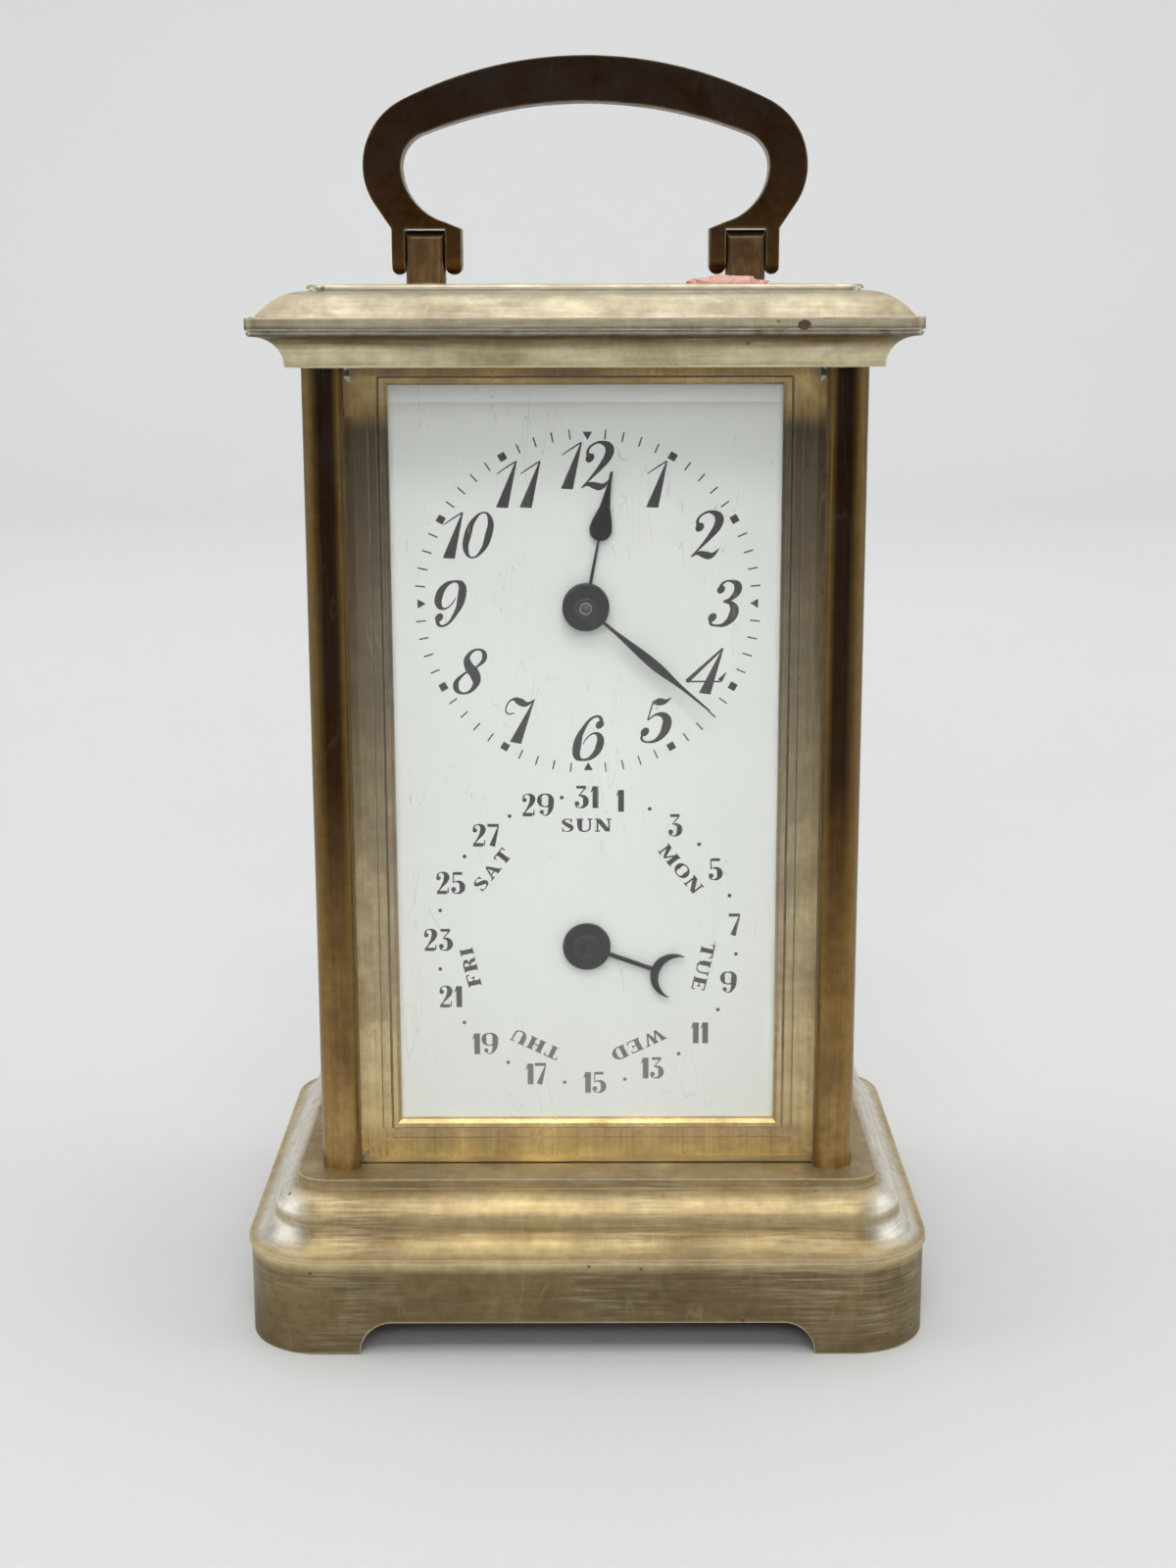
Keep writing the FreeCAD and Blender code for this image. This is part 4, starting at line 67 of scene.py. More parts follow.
# Pen strokes of the numerals and letters, on a body one unit high. A stroke is "bend" (smooth), "line" (straight),
# "loop" (smooth and closed) or "dot" (a disc), then its points as across, up and half the width of the pen.
ITALIC_SLANT = 0.27
HAIR = 0.014
SHAFT = 0.108
SIX = (
    ("bend", (0.36, 0.78, 0.03), (0.37, 0.90, 0.03), (0.22, 0.985, 0.02), (-0.01, 0.68, 0.045), (-0.04, 0.33, 0.075),
     (0.05, 0.07, 0.05), (0.2, 0.015, 0.02), (0.40, 0.10, 0.05), (0.49, 0.34, 0.07), (0.42, 0.55, 0.045),
     (0.29, 0.61, 0.018), (0.14, 0.50, HAIR), (0.09, 0.36, 0.008)),
    ("dot", (0.36, 0.80, 0.072)),
)
HOUR_DIGITS = {
    "0": (("loop", (0.0, 0.5, 0.065), (0.06, 0.84, 0.04), (0.24, 0.985, HAIR), (0.42, 0.84, 0.04), (0.48, 0.5, 0.065),
           (0.42, 0.16, 0.04), (0.24, 0.015, HAIR), (0.06, 0.16, 0.04)),),
    "1": (("line", (0.27, 0.99, 0.012), (0.22, 0.0, SHAFT)),
          ("bend", (0.27, 0.99, HAIR), (0.07, 0.85, HAIR), (-0.10, 0.72, 0.01))),
    "2": (("bend", (-0.01, 0.66, 0.03), (-0.08, 0.82, 0.025), (0.03, 0.96, 0.02), (0.2, 0.985, 0.03),
           (0.4, 0.86, 0.07), (0.42, 0.7, 0.075), (0.33, 0.5, 0.055), (0.16, 0.24, 0.025), (0.0, 0.02, HAIR)),
          ("bend", (0.0, 0.02, 0.01), (0.12, 0.1, 0.03), (0.3, 0.07, 0.055), (0.46, 0.05, 0.05), (0.6, 0.2, 0.008)),
          ("dot", (0.01, 0.66, 0.075))),
    "3": (("bend", (0.02, 0.8, 0.03), (0.02, 0.92, 0.025), (0.2, 0.985, 0.02), (0.42, 0.82, 0.07), (0.32, 0.6, 0.04),
           (0.16, 0.54, HAIR)),
          ("bend", (0.16, 0.54, HAIR), (0.38, 0.48, 0.045), (0.48, 0.27, 0.085), (0.36, 0.06, 0.05),
           (0.18, 0.015, 0.02), (0.0, 0.07, 0.025), (0.0, 0.18, 0.03)),
          ("dot", (0.03, 0.8, 0.07)), ("dot", (0.01, 0.19, 0.075))),
    "4": (("line", (0.13, 1.0, 0.012), (0.0, 0.0, SHAFT)), ("line", (0.13, 1.0, 0.02), (-0.5, 0.27, 0.045)),
          ("line", (-0.52, 0.27, HAIR), (0.3, 0.27, HAIR)), ("line", (0.27, 0.29, 0.05), (0.37, 0.48, 0.004))),
    "5": (("bend", (0.05, 0.9, 0.035), (0.16, 0.91, 0.06), (0.3, 0.91, 0.045), (0.44, 1.0, 0.005)),
          ("line", (0.03, 0.93, HAIR), (0.02, 0.5, HAIR)),
          ("bend", (0.02, 0.5, HAIR), (0.2, 0.63, 0.025), (0.42, 0.57, 0.06), (0.5, 0.36, 0.085),
           (0.42, 0.12, 0.055), (0.22, 0.015, 0.02), (0.0, 0.08, 0.02), (0.0, 0.22, 0.03)),
          ("dot", (0.03, 0.24, 0.075))),
    "6": SIX,
    "7": (("bend", (0.03, 0.66, 0.01), (-0.14, 0.66, 0.012), (-0.2, 0.82, 0.014), (-0.09, 0.97, 0.022),
           (0.08, 0.92, 0.055), (0.26, 0.86, 0.04), (0.43, 0.97, 0.008)),
          ("line", (0.41, 0.94, 0.01), (0.24, 0.0, SHAFT))),
    "8": (("loop", (0.28, 0.985, 0.018), (0.06, 0.83, 0.045), (0.13, 0.63, 0.07), (0.33, 0.44, 0.08),
           (0.42, 0.22, 0.06), (0.2, 0.015, 0.018), (-0.05, 0.2, 0.05), (0.05, 0.42, 0.025), (0.33, 0.6, 0.02),
           (0.46, 0.8, 0.045)),),
    "9": tuple((kind,) + tuple((0.46 - x, 1.0 - y, pen) for x, y, pen in points) for kind, *points in SIX),
}
DATE_BOWL = ("bend", (0.14, 0.56, 0.018), (0.36, 0.52, 0.06), (0.46, 0.3, 0.1), (0.36, 0.07, 0.055),
             (0.2, 0.02, 0.02), (0.03, 0.09, 0.025), (0.04, 0.2, 0.03))
DATE_SIX = (
    ("loop", (0.26, 0.58, 0.02), (0.06, 0.52, 0.055), (-0.01, 0.3, 0.1), (0.07, 0.08, 0.055), (0.26, 0.02, 0.02),
     (0.45, 0.1, 0.05), (0.5, 0.3, 0.085), (0.44, 0.5, 0.05)),
    ("bend", (-0.01, 0.3, 0.1), (0.03, 0.72, 0.075), (0.24, 0.98, 0.02), (0.42, 0.86, 0.03)),
    ("dot", (0.4, 0.82, 0.075)),
)
DATE_DIGITS = {
    "1": (("line", (0.24, 0.98, 0.1), (0.24, 0.0, 0.1)), ("line", (0.18, 0.97, 0.05), (0.03, 0.7, 0.01))),
    "2": (("bend", (0.06, 0.72, 0.03), (0.04, 0.86, 0.03), (0.22, 0.98, 0.02), (0.42, 0.86, 0.085),
           (0.42, 0.66, 0.09), (0.24, 0.36, 0.04), (0.02, 0.06, 0.02)),
          ("line", (0.0, 0.06, 0.06), (0.44, 0.06, 0.06)), ("line", (0.48, 0.03, 0.03), (0.51, 0.28, 0.015)),
          ("dot", (0.08, 0.72, 0.08))),
    "3": (("line", (0.04, 0.94, 0.05), (0.46, 0.94, 0.05)), ("line", (0.45, 0.92, 0.025), (0.15, 0.56, 0.018)),
          DATE_BOWL, ("dot", (0.07, 0.2, 0.085))),
    "5": (("line", (0.08, 0.93, 0.05), (0.46, 0.93, 0.05)), ("line", (0.06, 0.97, 0.02), (0.06, 0.5, 0.02)),
          ("line", (0.06, 0.5, 0.018), (0.14, 0.56, 0.018)), DATE_BOWL, ("dot", (0.07, 0.2, 0.085))),
    "7": (("line", (0.0, 0.94, 0.055), (0.5, 0.94, 0.055)), ("line", (0.49, 0.92, 0.018), (0.2, 0.0, 0.1))),
    "9": tuple((kind,) + tuple((0.5 - x, 1.0 - y, pen) for x, y, pen in points) for kind, *points in DATE_SIX),
}
STEM = 0.115
THIN = 0.042
SLAB = 0.2
SHORT_SLAB = 0.14


def stem(across, low=0.0, high=1.0):
    """A heavy upright stroke with a thin slab at each end."""
    return (("line", (across, low, STEM), (across, high, STEM)),
            ("line", (across - SLAB, low + THIN, THIN), (across + SLAB, low + THIN, THIN)),
            ("line", (across - SLAB, high - THIN, THIN), (across + SLAB, high - THIN, THIN)))


def hairline(across, low=0.0, high=1.0):
    """A thin upright stroke with a slab at its top."""
    return (("line", (across, low, THIN), (across, high, THIN)),
            ("line", (across - SHORT_SLAB, high - THIN, THIN), (across + SHORT_SLAB, high - THIN, THIN)))


LETTERS = {
    "A": (("line", (0.38, 1.0, 0.05), (0.68, 0.0, STEM)), ("line", (0.36, 0.95, THIN), (0.08, 0.0, THIN)),
          ("line", (0.2, 0.32, THIN), (0.55, 0.32, THIN)), ("line", (-0.06, THIN, THIN), (0.24, THIN, THIN)),
          ("line", (0.48, THIN, THIN), (0.88, THIN, THIN))),
    "D": stem(0.2) + (("bend", (0.2, 0.96, THIN), (0.55, 0.93, 0.05), (0.74, 0.5, STEM), (0.55, 0.07, 0.05),
                       (0.2, 0.04, THIN)),),
    "E": stem(0.2) + (("line", (0.2, 0.96, THIN), (0.7, 0.96, THIN)), ("line", (0.2, 0.5, THIN), (0.52, 0.5, THIN)),
                      ("line", (0.2, 0.04, THIN), (0.74, 0.04, THIN)), ("line", (0.7, 0.98, 0.04), (0.7, 0.74, 0.02)),
                      ("line", (0.74, 0.02, 0.04), (0.74, 0.28, 0.02)),
                      ("line", (0.53, 0.36, 0.03), (0.53, 0.64, 0.03))),
    "F": stem(0.2) + (("line", (0.2, 0.96, THIN), (0.7, 0.96, THIN)), ("line", (0.2, 0.5, THIN), (0.52, 0.5, THIN)),
                      ("line", (0.7, 0.98, 0.04), (0.7, 0.72, 0.02)),
                      ("line", (0.53, 0.36, 0.03), (0.53, 0.64, 0.03))),
    "H": stem(0.2) + stem(0.74) + (("line", (0.2, 0.5, THIN), (0.74, 0.5, THIN)),),
    "I": stem(0.2),
    "M": stem(0.94) + hairline(0.14) + (("line", (0.2, 0.95, STEM), (0.52, 0.08, 0.06)),
                                        ("line", (0.52, 0.05, THIN), (0.88, 0.95, THIN)),
                                        ("line", (0.0, THIN, THIN), (0.28, THIN, THIN))),
    "N": hairline(0.14) + hairline(0.78) + (("line", (0.18, 0.95, STEM), (0.72, 0.06, STEM)),
                                            ("line", (0.0, THIN, THIN), (0.28, THIN, THIN))),
    "O": (("loop", (0.1, 0.5, STEM), (0.2, 0.88, 0.055), (0.42, 0.97, THIN), (0.64, 0.88, 0.055), (0.74, 0.5, STEM),
           (0.64, 0.12, 0.055), (0.42, 0.03, THIN), (0.2, 0.12, 0.055)),),
    "R": stem(0.2) + (("bend", (0.2, 0.96, THIN), (0.5, 0.94, 0.05), (0.64, 0.74, 0.09), (0.5, 0.54, 0.05),
                       (0.2, 0.5, THIN)), ("bend", (0.45, 0.5, 0.05), (0.62, 0.3, 0.09), (0.66, 0.08, 0.07),
                                           (0.84, 0.06, 0.02))),
    "S": (("bend", (0.54, 0.78, 0.03), (0.46, 0.94, 0.03), (0.26, 0.96, 0.035), (0.1, 0.78, 0.08), (0.3, 0.55, STEM),
           (0.52, 0.36, STEM), (0.56, 0.18, 0.07), (0.34, 0.03, 0.035), (0.12, 0.08, 0.03), (0.05, 0.28, 0.03)),
          ("line", (0.55, 1.0, 0.03), (0.55, 0.7, 0.02)), ("line", (0.05, 0.0, 0.03), (0.05, 0.32, 0.02))),
    "T": stem(0.42) + (("line", (0.04, 0.96, THIN), (0.8, 0.96, THIN)),
                       ("line", (0.05, 0.98, 0.04), (0.05, 0.7, 0.02)),
                       ("line", (0.79, 0.98, 0.04), (0.79, 0.7, 0.02))),
    "U": (("bend", (0.2, 0.98, STEM), (0.2, 0.4, STEM), (0.28, 0.1, 0.07), (0.5, 0.03, 0.04), (0.7, 0.14, THIN),
           (0.76, 0.4, THIN), (0.76, 0.98, THIN)),
          ("line", (0.0, 0.96, THIN), (0.4, 0.96, THIN)), ("line", (0.62, 0.96, THIN), (0.9, 0.96, THIN))),
    "W": (("line", (0.12, 0.97, STEM), (0.38, 0.03, 0.05)), ("line", (0.38, 0.03, THIN), (0.62, 0.9, THIN)),
          ("line", (0.6, 0.97, STEM), (0.84, 0.03, 0.05)), ("line", (0.84, 0.03, THIN), (1.1, 0.97, THIN)),
          ("line", (-0.08, 0.96, THIN), (0.32, 0.96, THIN)), ("line", (0.46, 0.96, THIN), (0.78, 0.96, THIN)),
          ("line", (0.96, 0.96, THIN), (1.24, 0.96, THIN))),
}

# Layout of the printing, in millimetres and degrees clockwise from the top.
HOUR_HEIGHT = 6.1
HOUR_RING = 18.1
HOUR_STRETCH = 0.93
HOUR_PEN = 1.32
TRACK_RADIUS = 22.2
TRACK_RISE = 0.3
TRACK_SHIFT = 0.25
TICK_LENGTH = 1.3
TICK_WIDTH = 0.19
HOUR_MARK = 1.0
DATE_HEIGHT = 3.05
DATE_RING = 20.2
DATE_STRETCH = 1.0
DATE_PEN = 1.3
DATE_FIRST = 12.9
DATE_STEP = 23.45 / 2
LAST_DATE = 31
DATE_DOT = 0.27
CALENDAR_RISE = 0.45
DAY_HEIGHT = 1.8
DAY_RING = 16.3
DAYS = ("SUN", "MON", "TUE", "WED", "THU", "FRI", "SAT")
LETTER_GAP = 0.19
LETTER_STRETCH = 1.34
LETTER_PEN = 1.2
DIGIT_GAP = 0.07
INK_THICKNESS = 0.03
PEN_DEPTH = 0.12
QUARTER_SIZE = 0.72
QUARTER_INSET = 0.1
DOT_RISE = 0.2

# The minute hand, in millimetres: its hub, and the blade as distance from the middle and half its width there.
MINUTE_ANGLE = 130.1
MINUTE_HUB = 3.1
MINUTE_BOSS = 1.3
HAND_THICKNESS = 0.4
MINUTE_BLADE = ((0.0, 0.3), (3.0, 0.2), (5.0, 0.23), (7.0, 0.37), (9.3, 0.56), (11.0, 0.65), (12.3, 0.65),
                (13.8, 0.52), (15.4, 0.33), (17.2, 0.2), (21.4, 0.11))


def srgb(red, green, blue):
    """A display colour, 0 to 255, as linear light."""
    shares = (value / 255 for value in (red, green, blue))
    return tuple(v / 12.92 if v <= 0.04045 else ((v + 0.055) / 1.055) ** 2.4 for v in shares) + (1.0,)


# ---------------------------------------------------------------- shader wiring


def add(tree, kind, inputs=None, **settings):
    """Adds a shader node, sets its options, and fills or joins its inputs."""
    made = tree.nodes.new("ShaderNode" + kind)
    for option, value in settings.items():
        setattr(made, option, value)
    for name, value in (inputs or {}).items():
        if isinstance(value, bpy.types.NodeSocket):
            tree.links.new(value, made.inputs[name])
        else:
            made.inputs[name].default_value = value
    return made


def calculate(tree, operation, first, second=0.0, clamp=False):
    made = add(tree, "Math", {0: first, 1: second}, operation=operation, use_clamp=clamp)
    return made.outputs[0]


def times(tree, first, second, clamp=False):
    return calculate(tree, "MULTIPLY", first, second, clamp)


def blend_colors(tree, share, first, second, blend="MIX"):
    made = add(tree, "Mix", {0: share, 6: first, 7: second}, data_type="RGBA", blend_type=blend)
    return made.outputs[2]


def spread(tree, value, low, high, to_low=0.0, to_high=1.0):
    """Maps low..high to to_low..to_high, and holds it there."""
    made = add(tree, "MapRange", {0: value, 1: low, 2: high, 3: to_low, 4: to_high})
    return made.outputs[0]


def start_group(name, inputs, outputs):
    """An empty shader node group with named inputs (label, kind, default) and outputs (label, kind)."""
    tree = bpy.data.node_groups.new(name, "ShaderNodeTree")
    for label, kind, default in inputs:
        socket = tree.interface.new_socket(label, in_out="INPUT", socket_type="NodeSocket" + kind)
        if default is not None:
            socket.default_value = default
    for label, kind in outputs:
        tree.interface.new_socket(label, in_out="OUTPUT", socket_type="NodeSocket" + kind)
    return tree, tree.nodes.new("NodeGroupInput").outputs, tree.nodes.new("NodeGroupOutput").inputs


def grain_group():
    """Brush marks: noise drawn out along the directions where Along is small."""
    tree, given, out = start_group(
        "brush_grain", [("Vector", "Vector", None), ("Along", "Vector", (1, 1, 1))], [("Grain", "Float")])
    scaled = add(tree, "VectorMath", {0: given["Vector"], 1: given["Along"]}, operation="MULTIPLY")
    brushed = add(tree, "TexNoise", {"Vector": scaled.outputs[0], "Scale": 1.0, "Detail": 4.0})
    tree.links.new(spread(tree, brushed.outputs[0], 0.3, 0.7), out["Grain"])
    return tree


def patina_group():
    """Irregular patches of tarnish. Cover is the share tarnished, Soft how slowly it fades."""
    tree, given, out = start_group(
        "patina_patches",
        [("Vector", "Vector", None), ("Scale", "Float", 60.0), ("Cover", "Float", 0.5), ("Soft", "Float", 0.1)],
        [("Patch", "Float")])
    cloud = add(tree, "TexNoise", {"Vector": given["Vector"], "Scale": given["Scale"], "Detail": 7.0,
                                   "Roughness": 0.62, "Distortion": 0.3})
    middle = calculate(tree, "SUBTRACT", 1.0, given["Cover"])
    low = calculate(tree, "SUBTRACT", middle, given["Soft"])
    high = calculate(tree, "ADD", middle, given["Soft"])
    tree.links.new(spread(tree, cloud.outputs[0], low, high), out["Patch"])
    return tree


def edge_group():
    """Rubbed edges: where the rounded normal leaves the flat one, broken up by noise."""
    tree, given, out = start_group(
        "rubbed_edges", [("Vector", "Vector", None), ("Radius", "Float", 0.0005), ("Gain", "Float", 6.0)],
        [("Edge", "Float")])
    rounded = add(tree, "Bevel", {"Radius": given["Radius"]}, samples=4)
    flat = add(tree, "NewGeometry")
    dot = add(tree, "VectorMath", {0: rounded.outputs[0], 1: flat.outputs["Normal"]},
              operation="DOT_PRODUCT")
    turned = calculate(tree, "SUBTRACT", 1.0, dot.outputs["Value"])
    gaps = add(tree, "TexNoise", {"Vector": given["Vector"], "Scale": 450.0, "Detail": 3.0})
    broken = times(tree, turned, spread(tree, gaps.outputs[0], 0.3, 0.65, 0.2, 1.0))
    tree.links.new(times(tree, broken, given["Gain"], clamp=True), out["Edge"])
    return tree


def speck_group():
    """Small round spots in some cells of a random grid. Share is the share of cells that have one."""
    tree, given, out = start_group(
        "specks",
        [("Vector", "Vector", None), ("Scale", "Float", 300.0), ("Size", "Float", 0.15), ("Share", "Float", 0.3)],
        [("Speck", "Float")])
    cells = add(tree, "TexVoronoi", {"Vector": given["Vector"], "Scale": given["Scale"]})
    chosen = add(tree, "SeparateColor", {0: cells.outputs["Color"]})
    there = calculate(tree, "LESS_THAN", chosen.outputs[0], given["Share"])
    reach = times(tree, given["Size"], chosen.outputs[1])
    inside = spread(tree, cells.outputs["Distance"], times(tree, reach, 0.6), reach, 1.0, 0.0)
    tree.links.new(times(tree, there, inside), out["Speck"])
    return tree


def scratch_group():
    """Hairlines: where a drawn-out noise crosses its middle value, in two directions."""
    tree, given, out = start_group(
        "hairline_scratches", [("Vector", "Vector", None), ("Scale", "Float", 90.0), ("Width", "Float", 0.004)],
        [("Scratch", "Float")])
    found = []
    for turn, seed in ((0.5, 0.0), (-0.9, 7.0)):
        drawn = add(tree, "Mapping", {"Vector": given["Vector"], "Location": (seed, seed, seed),
                                      "Rotation": (turn, turn * 0.7, turn), "Scale": (1.0, 0.2, 0.12)})
        waves = add(tree, "TexNoise", {"Vector": drawn.outputs[0], "Scale": given["Scale"], "Detail": 1.0})
        off = calculate(tree, "ABSOLUTE", calculate(tree, "SUBTRACT", waves.outputs[0], 0.5))
        line = calculate(tree, "LESS_THAN", off, given["Width"])
        gaps = add(tree, "TexNoise", {"Vector": given["Vector"], "Scale": 130.0 + seed, "Detail": 2.0})
        found.append(times(tree, line, spread(tree, gaps.outputs[0], 0.52, 0.6)))
    tree.links.new(calculate(tree, "MAXIMUM", *found), out["Scratch"])
    return tree


def dust_group():
    """Dust lying on what faces up."""
    tree, given, out = start_group(
        "settled_dust", [("Vector", "Vector", None), ("Amount", "Float", 0.3)], [("Dust", "Float")])
    facing = add(tree, "SeparateXYZ", {0: add(tree, "NewGeometry").outputs["Normal"]})
    up = spread(tree, facing.outputs[2], 0.6, 1.0)
    cloud = add(tree, "TexNoise", {"Vector": given["Vector"], "Scale": 900.0, "Detail": 5.0})
    lying = times(tree, up, spread(tree, cloud.outputs[0], 0.4, 0.7))
    tree.links.new(times(tree, lying, given["Amount"]), out["Dust"])
    return tree


class Finish:
    """A material being wired: its tree, its object coordinates and its Principled shader."""

    groups = {}

    def __init__(self, name, **values):
        self.material = bpy.data.materials.new(name)
        self.material.use_nodes = True
        self.tree = self.material.node_tree
        self.tree.nodes.clear()
        self.place = add(self.tree, "TexCoord").outputs["Object"]
        self.shader = add(self.tree, "BsdfPrincipled", values)
        self.output = add(self.tree, "OutputMaterial", {"Surface": self.shader.outputs[0]})

    def effect(self, group, **inputs):
        """The output of one of the shared groups, at this material's coordinates."""
        filled = {"Vector": self.place, **{name.capitalize(): value for name, value in inputs.items()}}
        return add(self.tree, "Group", filled, node_tree=Finish.groups[group]).outputs[0]

    def color(self, socket):
        self.tree.links.new(socket, self.shader.inputs["Base Color"])

    def rough(self, socket):
        self.tree.links.new(socket, self.shader.inputs["Roughness"])

    def metal(self, socket):
        self.tree.links.new(socket, self.shader.inputs["Metallic"])

    def relief(self, socket, depth):
        bump = add(self.tree, "Bump", {"Height": socket, "Strength": 1.0, "Distance": depth})
        self.tree.links.new(bump.outputs[0], self.shader.inputs["Normal"])

    def height(self):
        """Height above the table, in millimetres."""
        up = add(self.tree, "SeparateXYZ", {0: self.place}).outputs[2]
        return times(self.tree, up, 1 / MM)

    def ramp(self, value, low, high, stops):
        """A colour that changes with value between low and high. Stops are (value, colour)."""
        share = spread(self.tree, value, low, high)
        made = add(self.tree, "ValToRGB", {0: share})
        points = made.color_ramp.elements
        while len(points) < len(stops):
            points.new(0.5)
        for point, (at, tone) in zip(points, stops):
            point.position = (at - low) / (high - low)
            point.color = tone
        return made.outputs[0]


# Old metal: how strongly each effect darkens the colour, dulls the gloss and takes away the metal, as shares.
PATCH_SHADE = 0.55
GRAIN_SHADE = 0.3
MOTTLE_SHADE = 0.3
SPECK_SHADE = 0.6
PATCH_DULL = 0.16
GRAIN_DULL = 0.08
DUST_DULL = 0.4
DUST_METAL_LOSS = 0.8
STREAK_STRETCH = 1.3
SPECK_BROWN = srgb(52, 38, 24)
DUST_GREY = srgb(170, 164, 150)


def aged_metal(name, clean, tarnish, worn, along, rough=0.32, cover=0.5, patch=55.0, edge=6.0, grain_depth=0.01,
               dust=0.15, tones_with_painted_light=None, metal_loss=0.25, wear=0.0, flank_painted_highlight=None, scratched=0.1):
    """Old brushed brass: clean metal, tarnish in patches, brush grain, rubbed edges, specks, scratches and dust.

    Tones take the place of clean with a colour that changes with height and holds painted highlights and painted
    shade: the lowest height, the highest and the stops.
    Flank is a painted highlight: the colour of what faces sideways, the sideways share of the normal where it starts
    and where it is full, its strength, and whether it is kept to what also faces up.
    """
    finish = Finish(name)
    tree = finish.tree
    patches = finish.effect("patina", scale=patch, cover=cover, soft=0.14)
    mottled = finish.effect("patina", scale=620.0, cover=0.5, soft=0.16)
    grain = finish.effect("grain", along=along)
    rubbed = finish.effect("edges", gain=edge)
    specks = finish.effect("specks", scale=300.0, size=0.13, share=0.2)
    scratches = finish.effect("scratches", scale=240.0, width=0.006)
    dusty = finish.effect("dust", amount=dust)
    # Tones: colour by height that holds painted highlights and painted shade.
    if tones_with_painted_light:
        base = finish.ramp(finish.height(), *tones_with_painted_light)
        tone = blend_colors(tree, times(tree, patches, PATCH_SHADE), base, tarnish, "MULTIPLY")
    else:
        tone = blend_colors(tree, patches, clean, tarnish)
    # Flank: a painted highlight, a lighter colour laid on what faces sideways.
    if flank_painted_highlight:
        facing = add(tree, "SeparateXYZ", {0: add(tree, "NewGeometry").outputs["Normal"]})
        turned = calculate(tree, "ABSOLUTE", facing.outputs[0])
        color, low, high, share, rising = flank_painted_highlight
        turned = spread(tree, turned, low, high, 0.0, share)
        if rising:
            turned = times(tree, turned, spread(tree, facing.outputs[2], 0.05, 0.3))
        tone = blend_colors(tree, turned, tone, color)
    tone = blend_colors(tree, spread(tree, grain, 0.0, 1.0, GRAIN_SHADE, 0.0), tone, tarnish, "MULTIPLY")
    tone = blend_colors(tree, times(tree, mottled, MOTTLE_SHADE), tone, tarnish, "MULTIPLY")
    tone = blend_colors(tree, rubbed, tone, worn)
    if wear:
        streaks = finish.effect("grain", along=tuple(STREAK_STRETCH * share for share in along))
        rubbed_here = finish.effect("patina", scale=42.0, cover=0.42, soft=0.12)
        streaks = times(tree, spread(tree, streaks, 0.35, 0.9), rubbed_here)
        tone = blend_colors(tree, times(tree, streaks, wear), tone, worn)
    tone = blend_colors(tree, times(tree, scratches, scratched), tone, worn)
    tone = blend_colors(tree, times(tree, specks, SPECK_SHADE), tone, SPECK_BROWN)
    finish.color(blend_colors(tree, dusty, tone, DUST_GREY))
    dull = calculate(tree, "ADD", times(tree, patches, PATCH_DULL), times(tree, grain, GRAIN_DULL))
    dull = calculate(tree, "ADD", dull, times(tree, dusty, DUST_DULL))
    finish.rough(calculate(tree, "ADD", dull, rough))
    lost = calculate(tree, "ADD", times(tree, patches, metal_loss), times(tree, dusty, DUST_METAL_LOSS))
    finish.metal(calculate(tree, "SUBTRACT", 1.0, lost))
    relief = calculate(tree, "SUBTRACT", grain, times(tree, scratches, 2 * scratched))
    finish.relief(calculate(tree, "SUBTRACT", relief, specks), grain_depth * MM)
    return finish.material


# Ways that the brush ran, as how fine the grain is along x, y and z.
HORIZONTAL = (110.0, 110.0, 2400.0)
VERTICAL = (1700.0, 1700.0, 70.0)
FACING = (900.0, 40.0, 900.0)
BRASS_WORN = srgb(214, 202, 172)


